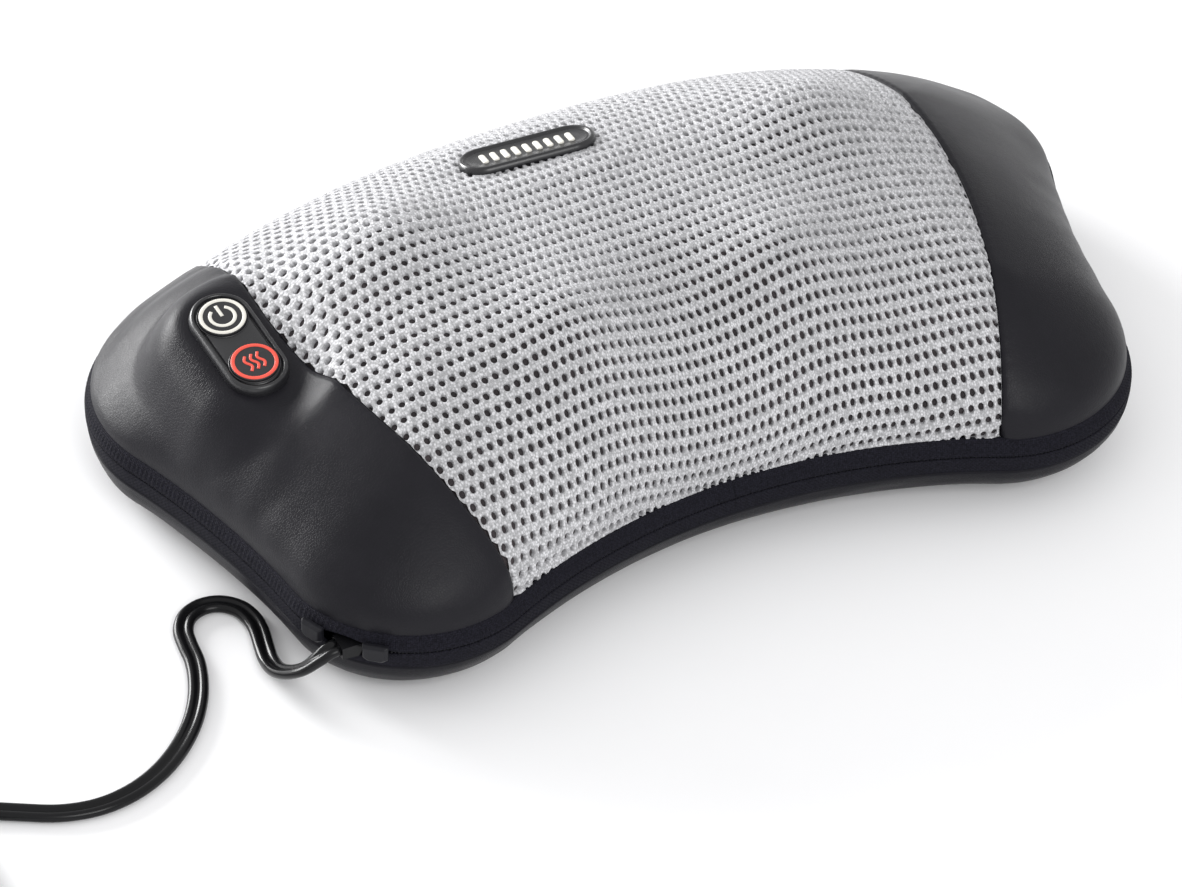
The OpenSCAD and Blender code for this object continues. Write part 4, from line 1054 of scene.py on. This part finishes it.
class MASSAGER_OT_mesh_cloth(bpy.types.Operator):
    """Knits the mesh cloth over the dome: a net of oval holes over a dark lower layer"""

    bl_idname = "massager.mesh_cloth"
    bl_label = "Mesh cloth"

    hole_share = 0.62
    hole_length = 0.56
    tuck = 0.5 * MM
    # Rings of a hole, from mid yarn to the foot of its wall: share of the way, height in millimetres, size.
    rings = ((0.0, 0.02, 1.0), (0.5, 0.12, 1.0), (0.9, 0.0, 1.0), (1.0, -0.32, 1.0), (1.0, -1.5, 0.93))

    def columns(self, cloth):
        """Distance along X at each half pitch, the cloth being stretched towards its left end."""
        right, left = [0.0], [0.0]
        while right[-1] < 0.118:
            right.append(right[-1] + 0.5 * (cloth.hole_pitch + 0.18 * MM * float(smooth(right[-1] / 0.08))))
        while left[-1] > -0.118:
            share = float(smooth((-left[-1] - 0.035) / 0.035))
            left.append(left[-1] - 0.5 * (cloth.hole_pitch + (cloth.end_pitch - cloth.hole_pitch) * share))
        return np.array(left[:0:-1] + right), len(left) - 1

    def place(self, cover, table, x, s):
        """Places and normals, the cloth being tucked under the seams at its sides."""
        for _ in range(3):
            y = table.at(x, s)[0][..., 1]
            limit = cover.seam_at(y) + self.tuck
            x = np.clip(x, -limit, limit)
        spot, normal = table.at(x, s)
        gap = np.maximum(0.0, cover.seam_at(spot[..., 1]) - np.abs(spot[..., 0]))
        sink = 1.0 * MM * np.exp(-((gap / (1.5 * MM)) ** 2))
        return spot - normal * sink[..., None], normal

    def net(self, cover, table, cloth, material):
        """The holed upper layer."""
        x_at, middle = self.columns(cloth)
        pitch = cloth.row_pitch
        zig = pitch / 6
        rows = range(int(table.s0 / pitch) - 2, int(float(table.front.max()) / pitch) + 2)
        steps = range(-middle + 1, len(x_at) - middle - 1)
        cells = [(row, k) for row in rows for k in steps if (k - row) % 2 == 0]
        cells = np.array(cells, float)
        row, k = cells[:, 0], cells[:, 1]
        centre_x = np.interp(k, np.arange(len(x_at)) - middle, x_at)
        spot = table.at(centre_x, (row + 0.5) * pitch)[0]
        back = np.interp(centre_x, table.x, table.back)
        front = np.interp(centre_x, table.x, table.front)
        s_mid = (row + 0.5) * pitch
        kept = np.abs(centre_x) < cover.seam_at(spot[:, 1]) + 0.4 * cloth.hole_pitch
        kept &= (s_mid > back - 0.6 * pitch) & (s_mid < front + 0.6 * pitch)
        row, k = row[kept], k[kept]
        corners = [(0, -zig), (1, zig), (1, pitch - zig), (0, pitch + zig), (-1, pitch - zig), (-1, zig)]
        outline = []
        for i, (a, b) in enumerate(corners):
            c, d = corners[(i + 1) % 6]
            outline += [(a, b), ((a + c) / 2, (b + d) / 2)]
        outline = np.array(outline)
        u_out = k[:, None] + outline[None, :, 0]
        s_out = row[:, None] * pitch + outline[None, :, 1]
        turn = np.radians(np.arange(12) * 30.0)
        u_hole = k[:, None] + self.hole_share * np.sin(turn)[None, :]
        s_hole = (row[:, None] + 0.5) * pitch - self.hole_length / 2 * pitch * np.cos(turn)[None, :]
        layers = []
        for share, height, size in self.rings:
            u = u_out + (u_hole - u_out) * share
            s = s_out + (s_hole - s_out) * share
            if size < 1:
                u = k[:, None] + (u - k[:, None]) * size
                s = (row[:, None] + 0.5) * pitch + (s - (row[:, None] + 0.5) * pitch) * size
            x = np.interp(u, np.arange(len(x_at)) - middle, x_at)
            place, normal = self.place(cover, table, x, s)
            layers.append((place + normal * height * MM, np.stack([u * 1.4 * MM, s, np.zeros_like(s)], -1)))
        keys = np.round(np.stack([u_out * 4, s_out / pitch * 24], -1)).astype(int).reshape(-1, 2)
        _, first, weld = np.unique(keys, axis=0, return_index=True, return_inverse=True)
        weld = weld.reshape(-1)
        count = len(row)
        points = [layers[0][0].reshape(-1, 3)[first]] + [layer[0].reshape(-1, 3) for layer in layers[1:]]
        places = [layers[0][1].reshape(-1, 3)[first]] + [layer[1].reshape(-1, 3) for layer in layers[1:]]
        index = [weld.reshape(count, 12)]
        for i in range(1, len(layers)):
            index.append(len(first) + (i - 1) * count * 12 + np.arange(count * 12).reshape(count, 12))
        faces = []
        for outer, inner in zip(index[:-1], index[1:]):
            next_outer, next_inner = np.roll(outer, -1, 1), np.roll(inner, -1, 1)
            faces.append(np.stack([outer, inner, next_inner, next_outer], -1).reshape(-1, 4))
        return add_mesh(
            "mesh_net", np.concatenate(points), np.concatenate(faces).tolist(), material,
            slot="mesh_fabric", replaces=("mesh_panel",), cloth=np.concatenate(places),
        )

    def backing(self, cover, table, depth, material):
        """The dark lower layer, just under the net."""
        x = np.linspace(-0.1135, 0.1135, 150)
        share = np.linspace(0, 1, 130)
        back, front = np.interp(x, table.x, table.back), np.interp(x, table.x, table.front)
        s = back[:, None] + (front - back)[:, None] * share[None, :]
        x = np.broadcast_to(x[:, None], s.shape)
        place, normal = self.place(cover, table, x, s)
        place = place - normal * depth
        cloth = np.stack([x, s, np.zeros_like(s)], -1).reshape(-1, 3)
        faces = grid_faces(*s.shape, flip=True)
        points = place.reshape(-1, 3)
        return add_mesh("mesh_backing", points, faces, material, slot="mesh_fabric", cloth=cloth)

    def execute(self, context):
        cover = build_cover(context)[0]
        cloth = context.scene.massager_cloth
        finishes = Finishes(context.scene)
        table = SurfaceTable(cover)
        net = self.net(cover, table, cloth, finishes["mesh_yarn"])
        self.backing(cover, table, cloth.cloth_depth, finishes["mesh_backing"])
        return {"FINISHED"}


class MASSAGER_OT_end_covers(bpy.types.Operator):
    """Lofts the leatherette ends, with a rolled edge along each seam"""

    bl_idname = "massager.end_covers"
    bl_label = "Leatherette ends"

    rows = 200
    columns = 58
    gap = 0.3 * MM
    # Relief of the leatherette, in millimetres.
    seam_roll = 1.7
    fullness = 0.40
    stitch_pull = 0.10
    edge_pucker = 0.10
    slow_wave = 0.16
    # Spacing of the stitches along the seam and of the puckers along the lower edge.
    stitch_pitch = 3.6 * MM
    pucker_pitch = 17 * MM

    def end_cover(self, cover, side, material):
        """One end: columns run from the seam to the lower edge, rows from front to back."""
        y0, y1 = cover.seam_foot(cover.front_edge), cover.seam_foot(cover.back_edge)
        points, normals, _ = cover.stations(0.5 * MM)
        edge = points - normals * cover.s.cover_inset
        kept = edge[:, 0] > cover.seam_at(edge[:, 1])
        edge, out = edge[kept], normals[kept]
        order = np.argsort(np.unwrap(np.arctan2(edge[:, 1], edge[:, 0] - 0.08)))
        edge, out = edge[order], out[order]
        feet = [(cover.seam_at(y0) + self.gap, y0), (cover.seam_at(y1) + self.gap, y1)]
        edge = np.vstack([feet[:1], edge, feet[1:]])
        out = np.vstack([out[:1], out, out[-1:]])
        run = np.concatenate([[0], np.cumsum(np.linalg.norm(np.diff(edge, axis=0), axis=1))])
        along = np.linspace(0, run[-1], self.rows)
        b = np.stack([np.interp(along, run, edge[:, i]) for i in range(2)], -1)
        n = unit(np.stack([np.interp(along, run, out[:, i]) for i in range(2)], -1))
        y = y0 + (y1 - y0) * (1 - np.cos(np.linspace(0, math.pi, self.rows))) / 2
        a = np.stack([cover.seam_at(y) + self.gap, y], -1)
        t = np.concatenate([[0, 0.0025, 0.006, 0.011, 0.018, 0.03], np.linspace(0.05, 1, self.columns - 6)])
        f = 1 - (1 - t) ** cover.rim_power
        plan = a[:, None] + (b - a)[:, None] * f[None, :, None]
        x, y = plan[..., 0], plan[..., 1]
        z = cover.surface_z(side * x, y)
        z[:, -1] = cover.cover_z
        normal = cover.normals(side * x, y)
        level = np.stack([side * n[:, 0], n[:, 1], np.zeros(self.rows)], -1)
        near = smooth((cover.edge_distance(x, y) - 0.2 * MM) / (1.5 * MM))[..., None]
        normal = unit(normal * near + level[:, None] * (1 - near))
        from_seam = np.linalg.norm(plan - a[:, None], axis=-1)
        roll = -self.seam_roll * np.maximum(0.0, 1 - from_seam / (1.5 * MM)) ** 2
        puff = self.fullness * smooth(from_seam / (6 * MM))
        stitches = np.sin(2 * math.pi * y / self.stitch_pitch)
        pull = self.stitch_pull * stitches * np.exp(-((from_seam / (2.2 * MM)) ** 2))
        to_edge = cover.edge_distance(x, y)
        turn = 2 * math.pi * along[:, None] / self.pucker_pitch
        pucker = np.sin(turn + 2.2 * np.sin(along[:, None] * 57.0))
        pucker = self.edge_pucker * pucker * np.exp(-to_edge / (9 * MM)) * smooth(to_edge / (1.5 * MM))
        slow = ripple(side * x, y) * smooth(to_edge / (12 * MM)) * smooth(from_seam / (12 * MM))
        slow = self.slow_wave * slow
        for px, py, reach_x, reach_y, depth in self.dents:
            if px * side > 0:
                slow = slow - depth * np.exp(-(((side * x - px) / reach_x) ** 2) - ((y - py) / reach_y) ** 2)
        lift = (roll + puff + pull + pucker + slow) * MM
        place = np.stack([side * x, y, z], -1) + normal * lift[..., None]
        tucked = [
            place[:, -1:] - level[:, None] * 0.4 * MM - np.array([0, 0, 0.8 * MM]),
            place[:, -1:] - level[:, None] * 1.2 * MM - np.array([0, 0, 1.2 * MM]),
        ]
        place = np.concatenate([place, *tucked], 1)
        faces = grid_faces(*place.shape[:2], flip=side > 0)
        name = "right" if side > 0 else "left"
        return add_mesh(
            f"{name}_end_cover", place.reshape(-1, 3), faces, material,
            slot="leatherette", replaces=(f"{name}_end_panel",),
        )

    # Soft dents: centre x and y, reach along x and y, depth in millimetres.
    dents = (
        (-0.1400, -0.030, 0.004, 0.010, 0.25),
        (0.146, -0.028, 0.005, 0.014, 0.35),
        (0.150, 0.020, 0.008, 0.010, 0.3),
    )

    def execute(self, context):
        cover = build_cover(context)[0]
        finishes = Finishes(context.scene)
        for side in (-1, 1):
            self.end_cover(cover, side, finishes["end_hide"])
        return {"FINISHED"}


# ---- Operators: zip, lower cover and base ----
class Rim:
    """Evenly spaced stations round the outline, and how far the zip stands open at each."""

    exit_angle = 217.0
    exit_half_angle = 13.0
    slider_angles = (203.0, 231.0)

    def __init__(self, cover, step):
        self.cover = cover
        self.points, self.normals, self.run = cover.stations(step)
        on_corner = (self.points[:, 0] < 0) & (self.points[:, 1] < cover.front_c[1] + 12 * MM)
        angle = np.degrees(np.arctan2(self.normals[:, 1], self.normals[:, 0])) % 360
        self.angle = np.where(on_corner, angle, 0.0)
        self.spread = np.exp(-(((self.angle - self.exit_angle) / self.exit_half_angle) ** 2))

    def at(self, inset, z):
        """Points at an inset and a height, which may both change along the rim."""
        plan = self.points - self.normals * np.broadcast_to(np.asarray(inset, float), self.run.shape)[:, None]
        return np.column_stack([plan, np.broadcast_to(np.asarray(z, float), self.run.shape)])

    def band(self, low, high, bulge, thickness, ribs=0.0, rib_pitch=1.8 * MM, steps=9):
        """Sections of a band between two (inset, height) edges, with rolled edges and raised ribs."""
        layers = [self.at(low[0] + thickness, low[1] + 0.2 * MM)]
        layers.append(self.at(low[0] + 0.35 * MM, low[1] - 0.12 * MM))
        wave = np.sin(2 * math.pi * self.run / rib_pitch)
        for i in range(steps):
            t = i / (steps - 1)
            rib = ribs * wave * math.exp(-(((t - 0.42) / 0.26) ** 2))
            out = bulge * math.sin(math.pi * (0.12 + 0.82 * t)) + rib
            layers.append(self.at(low[0] + (high[0] - low[0]) * t - out, low[1] + (high[1] - low[1]) * t))
        layers.append(self.at(high[0] + 0.4 * MM, high[1] + 0.12 * MM))
        layers.append(self.at(high[0] + thickness, high[1] - 0.2 * MM))
        return np.stack(layers, 1)


class MASSAGER_OT_zip(bpy.types.Operator):
    """Sweeps the zip tapes, sets the teeth between them and puts on the sliders"""

    bl_idname = "massager.zip"
    bl_label = "Zip"

    tooth_pitch = 1.15 * MM
    tape_foot = (0.9 * MM, 17.6 * MM)
    tape_thickness = 1.2 * MM
    half_gap = 0.35 * MM
    upper_opening = 2.6 * MM
    lower_opening = 4.0 * MM

    def tapes(self, cover, finishes):
        """Upper and lower tape, drawn apart where the cord comes out."""
        rim = Rim(cover, 0.45 * MM)
        zip_z, tape = cover.s.zip_z, finishes["zip_tape"]
        low = (0.25 * MM, zip_z + self.half_gap + self.upper_opening * rim.spread)
        high = (cover.s.cover_inset - 0.1 * MM, cover.cover_z + 0.25 * MM)
        upper = rim.band(low, high, 0.45 * MM, self.tape_thickness, ribs=0.16 * MM)
        swept_ring("upper_tape", upper, tape, rim.run, slot="zip_tape", replaces=("upper_zip_tape",))
        high = (0.1 * MM, zip_z - self.half_gap - self.lower_opening * rim.spread)
        lower = rim.band(self.tape_foot, high, 0.30 * MM, self.tape_thickness, ribs=0.08 * MM)
        swept_ring("lower_tape", lower, tape, rim.run, slot="zip_tape", replaces=("lower_zip_tape",))

    def teeth(self, cover, material):
        """A row of small interlocked teeth along the closed part of the zip."""
        rim = Rim(cover, self.tooth_pitch)
        first, last = rim.slider_angles
        closed = ~((rim.angle > first) & (rim.angle < last))
        places = rim.at(0.95 * MM, cover.s.zip_z)[closed]
        normals = np.column_stack([rim.normals, np.zeros(len(rim.run))])[closed]
        sides = np.cross(np.array([0, 0, 1.0]), normals)
        lean = np.where(np.arange(len(places)) % 2 == 0, 0.2, -0.2) * MM
        hexagon = [unit2(60 * i) for i in range(6)]
        rings = ((-0.95, 0.45), (-0.6, 1.0), (0.6, 1.0), (0.95, 0.45))
        points, faces = [], []
        for place, normal, side, shift in zip(places, normals, sides, lean):
            start = len(points)
            for height, size in rings:
                for c, s in hexagon:
                    spot = place + side * 0.42 * MM * c * size + normal * 0.7 * MM * s * size
                    points.append(spot + np.array([0, 0, height * MM * 0.9 + shift]))
            faces += [[start + v for v in face] for face in grid_faces(4, 6, ring_columns=True)]
            faces.append([start + v for v in range(5, -1, -1)])
            faces.append([start + 18 + v for v in range(6)])
        add_mesh("zip_teeth", points, faces, material, slot="zip_nylon", replaces=("zip_coil",))

    def slider(self, cover, name, angle, material):
        """A flat half-hexagon pull with bevelled edges."""
        long, high, thick, clear = 8 * MM, 6 * MM, 2.2 * MM, 0.5 * MM
        shape = [(-0.5, -0.3), (-0.3, -0.5), (0.3, -0.5), (0.5, -0.3), (0.5, 0.5), (-0.5, 0.5)]
        matrix = Matrix.Translation((-cover.front_c[0], cover.front_c[1], cover.s.zip_z))
        matrix = matrix @ Matrix.Rotation(math.radians(angle), 4, "Z")
        matrix = matrix @ Matrix.Translation((cover.s.front_corner_r + clear, 0, 0))
        rings = ((0.0, 1.0), (thick * 0.62, 1.0), (thick, 0.78))
        points = []
        for out, size in rings:
            ring = [(a * long * size, b * high * size + 0.5 * MM) for a, b in shape]
            points += [matrix @ Vector((out, side, up)) for side, up in ring]
        faces = grid_faces(len(rings), 6, ring_columns=True)
        faces.append([5, 4, 3, 2, 1, 0])
        faces.append([6 * (len(rings) - 1) + v for v in range(6)])
        piece = add_mesh(
            f"{name}_slider_tab", points, faces, material, body=f"{name}_slider",
            slot="black_plastic", replaces=(f"{name}_zip_slider",), flat=True,
        )
        bevelled(piece, 0.28 * MM)

    def execute(self, context):
        cover = build_cover(context)[0]
        finishes = Finishes(context.scene)
        self.tapes(cover, finishes)
        self.teeth(cover, finishes["zip_nylon"])
        for name, angle in zip(("left", "front"), Rim.slider_angles):
            self.slider(cover, name, angle, finishes["slider_enamel"])
        return {"FINISHED"}


class MASSAGER_OT_lower_cover(bpy.types.Operator):
    """Curls the lower cover under to the flat base, and sews the base cloth to it"""

    bl_idname = "massager.lower_cover"
    bl_label = "Lower cover and base"

    end_fullness = 6 * MM
    front_tuck = 5 * MM
    curl_power = 0.91
    first_angle = 13.0
    last_angle = 84.0

    def sides(self, cover, rim, material):
        """The curled side, from the tape's foot to the base."""
        outward = rim.normals
        base_set = cover.s.base_inset - self.end_fullness * outward[:, 0] ** 2
        base_set = base_set + self.front_tuck * np.maximum(0, -outward[:, 1]) ** 2
        layers = [rim.at(2.4 * MM, 18.6 * MM)]
        for a in np.radians(np.linspace(self.first_angle, self.last_angle, 26)):
            inset = base_set * (1 - math.cos(a) ** self.curl_power)
            z = cover.s.zip_z * (1 - math.sin(a) ** self.curl_power)
            wave = ripple(rim.points[:, 0] * 1.4, rim.points[:, 1] * 1.4 + z * 9)
            soft = 0.35 * MM * wave * math.sin(2 * a)
            layers.append(rim.at(inset - soft, min(z, 18.2 * MM)))
        layers.append(rim.at(base_set * 0.86, 0.15 * MM))
        side = swept_ring(
            "lower_cover", np.stack(layers, 1)[:, ::-1], material, rim.run,
            slot="leatherette", replaces=("lower_shell",),
        )
        return rim.at(base_set * 0.80, 0.0)

    def base(self, foot, finishes):
        """Flat base cloth with a bound edge and a row of stitches inside it."""
        middle = np.array([0.0, 0.004, 0.0])
        shares = (1.0, 0.992, 0.97, 0.93, 0.8, 0.6, 0.4, 0.2, 0.02)
        heights = (1.4, 0.25, 0.12, 0.10, 0.10, 0.10, 0.10, 0.10, 0.10)
        spans = [middle + (foot - middle) * share for share in shares]
        grid = np.stack([ring + np.array([0, 0, h * MM]) for ring, h in zip(spans, heights)])
        faces = grid_faces(len(shares), len(foot), ring_columns=True, flip=True)
        faces.append([(len(shares) - 1) * len(foot) + i for i in range(len(foot))][::-1])
        points = grid.reshape(-1, 3)
        add_mesh(
            "base_cloth", points, faces, finishes["base_cloth"],
            slot="base_fabric", replaces=("base_panel",), cloth=points,
        )
        line = middle + (foot - middle) * 0.95 + np.array([0, 0, 0.12 * MM])
        dash = [line[i : i + 3] for i in range(0, len(line) - 3, 4)]
        oval = oval_section(0.5 * MM, 0.3 * MM, 6)
        points, faces = [], []
        for leg in dash:
            tangent = unit(leg[-1] - leg[0])
            side = unit(np.cross(np.array([0, 0, 1.0]), tangent))
            start = len(points)
            for size, spot in zip((0.4, 1.0, 0.4), leg):
                points += [spot + side * a * size + np.array([0, 0, b * size]) for a, b in oval]
            faces += [[start + v for v in face] for face in grid_faces(3, 6, ring_columns=True)]
            faces.append([start + v for v in range(5, -1, -1)])
            faces.append([start + 12 + v for v in range(6)])
        add_mesh("base_stitches", points, faces, finishes["thread"], slot="base_fabric")

    def execute(self, context):
        cover = build_cover(context)[0]
        finishes = Finishes(context.scene)
        foot = self.sides(cover, Rim(cover, 1.5 * MM), finishes["lower_hide"])
        self.base(foot, finishes)
        return {"FINISHED"}


# ---- Operators: controls ----
class MASSAGER_OT_control_pad(bpy.types.Operator):
    """Moulds the control pad and its two marked buttons"""

    bl_idname = "massager.control_pad"
    bl_label = "Control pad and buttons"

    # Pad section: inset from the outline and height over the cover's flat patch, in millimetres.
    pad_section = (
        (0.3, -2.0), (0.1, -0.4), (0.0, 0.8), (0.1, 2.0), (0.4, 3.0), (0.9, 3.58), (1.4, 3.62), (1.8, 3.25),
        (1.95, 2.5), (2.2, 2.2), (2.45, 2.5), (2.6, 2.95), (2.9, 3.1), (5.0, 3.12), (8.0, 3.12), (9.9, 3.12)
    )
    # Button section: inset from the button's edge and height, in millimetres.
    disc_section = (
        (0.3, 1.8), (0.05, 2.0), (0.05, 3.5), (0.15, 3.85),
        (0.35, 4.02), (0.7, 4.08), (3.5, 4.10), (7.2, 4.10),
    )
    ring_inset = 0.85 * MM
    collar_gap = 0.3 * MM
    plate_z = 3.12 * MM
    mark_z = 4.12 * MM

    def arc(self, radius, first, last, steps):
        """Points of an arc at the height of the marks."""
        return [(*(unit2(a) * radius), self.mark_z) for a in np.linspace(first, last, steps)]

    def button(self, name, radius, matrix, finishes):
        """The black disc and the coloured ring of one button, and the moulded collar round it."""
        section = [(radius - inset * MM, height * MM) for inset, height in self.disc_section]
        slot = {"power": "button_white", "heat": "button_red"}[name]
        body = f"{name}_button"
        lathe(
            f"{name}_disc", section, matrix, finishes["button_black"], steps=64,
            body=body, slot="pad_plastic", replaces=(body,),
        )
        ring = self.arc(radius - self.ring_inset, 0, 360, 97)[:-1]
        swept_line(
            f"{name}_ring", ring, oval_section(1.25 * MM, 0.36 * MM), finishes[f"{name}_mark"],
            matrix=matrix, closed=True, body=body, slot=slot,
        )
        reach = radius + self.collar_gap
        groove = [(*(unit2(a) * reach), self.plate_z) for a in np.linspace(0, 360, 73)[:-1]]
        swept_line(
            f"{name}_collar", groove, oval_section(0.5 * MM, 0.5 * MM, 8), finishes["pad_plastic"],
            matrix=matrix, closed=True, slot="pad_plastic",
        )

    def marks(self, matrices, finishes):
        """The stand-by sign and the heat waves."""
        thick = 0.36 * MM
        sign = self.arc(3.85 * MM, 36, 324, 49)
        swept_line(
            "power_sign", sign, oval_section(1.15 * MM, thick), finishes["power_mark"],
            matrix=matrices["power"], body="power_button", slot="button_white",
        )
        bar = [(x * MM, 0, self.mark_z) for x in np.linspace(0.1, 4.7, 8)]
        swept_line(
            "power_bar", bar, oval_section(1.15 * MM, thick), finishes["power_mark"],
            matrix=matrices["power"], body="power_button", slot="button_white",
        )
        for i, offset in enumerate((-2.15, 0.0, 2.15)):
            along = np.linspace(-3.1, 3.1, 31)
            sway = offset + 0.62 * np.sin(2 * math.pi * along / 5.2)
            wave = [(a * MM, b * MM, self.mark_z) for a, b in zip(along, sway)]
            swept_line(
                f"heat_wave_{i + 1}", wave, oval_section(0.95 * MM, thick), finishes["heat_mark"],
                matrix=matrices["heat"], body="heat_button", slot="button_red",
            )

    def execute(self, context):
        c = context.scene.massager_controls
        finishes = Finishes(context.scene)
        pad = build_cover(context)[1]
        section = [(inset * MM, height * MM) for inset, height in self.pad_section]
        stadium_dish(
            "pad_moulding", c.pad_l, c.pad_w, section, pad, finishes["pad_plastic"],
            slot="pad_plastic", replaces=("control_pad",),
        )
        matrices = {}
        for name, side in (("power", 1), ("heat", -1)):
            matrices[name] = pad @ Matrix.Translation((side * c.button_pitch / 2, 0, 0))
            self.button(name, c.button_d / 2, matrices[name], finishes)
        self.marks(matrices, finishes)
        return {"FINISHED"}


class MASSAGER_OT_badge(bpy.types.Operator):
    """Moulds the badge, with a row of plain bars"""

    bl_idname = "massager.badge"
    bl_label = "Badge"

    # Badge section: inset from the outline and height over the cover's flat patch, in millimetres.
    section = (
        (0.3, -1.2), (-0.3, -0.4), (-0.35, 0.8), (-0.1, 1.7), (0.4, 2.2), (1.0, 2.25), (1.4, 1.9),
        (1.6, 1.55), (2.0, 1.45), (2.3, 1.6), (2.6, 1.6), (2.9, 1.45), (5.0, 1.45), (7.9, 1.45)
    )
    bar_section = ((0.0, 1.2), (0.0, 1.75), (0.2, 1.9), (0.5, 1.92))
    bar_l = 6.2 * MM
    bar_w = 1.9 * MM
    end_margin = 6 * MM

    def execute(self, context):
        c = context.scene.massager_controls
        finishes = Finishes(context.scene)
        badge = build_cover(context)[2]
        section = [(inset * MM, height * MM) for inset, height in self.section]
        stadium_dish(
            "badge_moulding", c.badge_l, c.badge_w, section, badge, finishes["pad_plastic"],
            slot="pad_plastic", replaces=("badge",),
        )
        pitch = (c.badge_l - 2 * self.end_margin) / c.bars
        section = [(inset * MM, height * MM) for inset, height in self.bar_section]
        for i in range(c.bars):
            shift = (i - (c.bars - 1) / 2) * pitch
            matrix = badge @ Matrix.Translation((shift, 0, 0)) @ Matrix.Rotation(math.radians(90), 4, "Z")
            stadium_dish(
                f"badge_bar_{i + 1}", self.bar_l, self.bar_w, section, matrix, finishes["power_mark"],
                slot="button_white",
            )
        return {"FINISHED"}


# ---- Operators: massage unit ----
class MASSAGER_OT_inner_finishes(bpy.types.Operator):
    """Gives the packed parts that stay as they are their finishes"""

    bl_idname = "massager.inner_finishes"
    bl_label = "Inner parts"

    finishes_of = {
        "switch_domes": "steel", "foam_bed": "foam", "base_casing": "casing_plastic",
        "upper_casing": "casing_plastic", "casing_screws": "steel", "motor": "motor_steel",
        "motor_clamp": "steel", "motor_shaft": "steel",
        "worm": "brass", "shaft_bearing": "bronze", "gear_spindles": "steel", "left_drive_gear": "gear_nylon",
        "right_drive_gear": "gear_nylon", "head_spindles": "steel", "spindle_washers": "steel",
        "head_bushes": "bronze", "left_head_gear": "gear_nylon", "right_head_gear": "gear_nylon",
        "left_head_arm": "arm_plastic", "right_head_arm": "arm_plastic", "left_node_pins": "steel",
        "right_node_pins": "steel", "left_back_node": "node_rubber", "left_front_node": "node_rubber",
        "right_back_node": "node_rubber", "right_front_node": "node_rubber", "circuit_board": "circuit_board",
        "heat_lamps": "lamp_glass", "cord_grommet": "cord_rubber",
    }

    def execute(self, context):
        finishes = Finishes(context.scene)
        for node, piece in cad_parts.items():
            if piece.hide_render:
                continue
            if node not in self.finishes_of:
                raise RuntimeError(f"no finish is named for {node}")
            piece.data.materials.clear()
            piece.data.materials.append(finishes[self.finishes_of[node]])
        return {"FINISHED"}


# ---- Panel and registration ----
PIECE_OPERATORS = (
    MASSAGER_OT_stage,
    MASSAGER_OT_cord,
    MASSAGER_OT_mesh_cloth,
    MASSAGER_OT_end_covers,
    MASSAGER_OT_zip,
    MASSAGER_OT_lower_cover,
    MASSAGER_OT_control_pad,
    MASSAGER_OT_badge,
    MASSAGER_OT_inner_finishes,
)


class MASSAGER_PT_sidebar(bpy.types.Panel):
    """Lists the massager's pieces and settings"""

    bl_label = "Neck massager"
    bl_idname = "MASSAGER_PT_sidebar"
    bl_space_type = "VIEW_3D"
    bl_region_type = "UI"
    bl_category = "Massager"

    def draw(self, context):
        for operator in PIECE_OPERATORS:
            self.layout.operator(operator.bl_idname)
        for name, group in SETTINGS.items():
            box = self.layout.box()
            box.label(text=group.__doc__)
            for prop in group.__annotations__:
                box.prop(getattr(context.scene, name), prop)


CLASSES = (*SETTINGS.values(), *PIECE_OPERATORS, MASSAGER_PT_sidebar)


def register():
    """Registers the classes and puts the settings on the scene."""
    for cls in CLASSES:
        bpy.utils.register_class(cls)
    for name, group in SETTINGS.items():
        setattr(bpy.types.Scene, name, PointerProperty(type=group))


def unregister():
    """Takes everything off again."""
    for name in SETTINGS:
        delattr(bpy.types.Scene, name)
    for cls in reversed(CLASSES):
        bpy.utils.unregister_class(cls)


def main():
    """Builds every piece in order."""
    register()
    for operator in PIECE_OPERATORS:
        group, name = operator.bl_idname.split(".")
        getattr(getattr(bpy.ops, group), name)()
    bpy.context.view_layer.update()


if __name__ == "__main__":
    main()
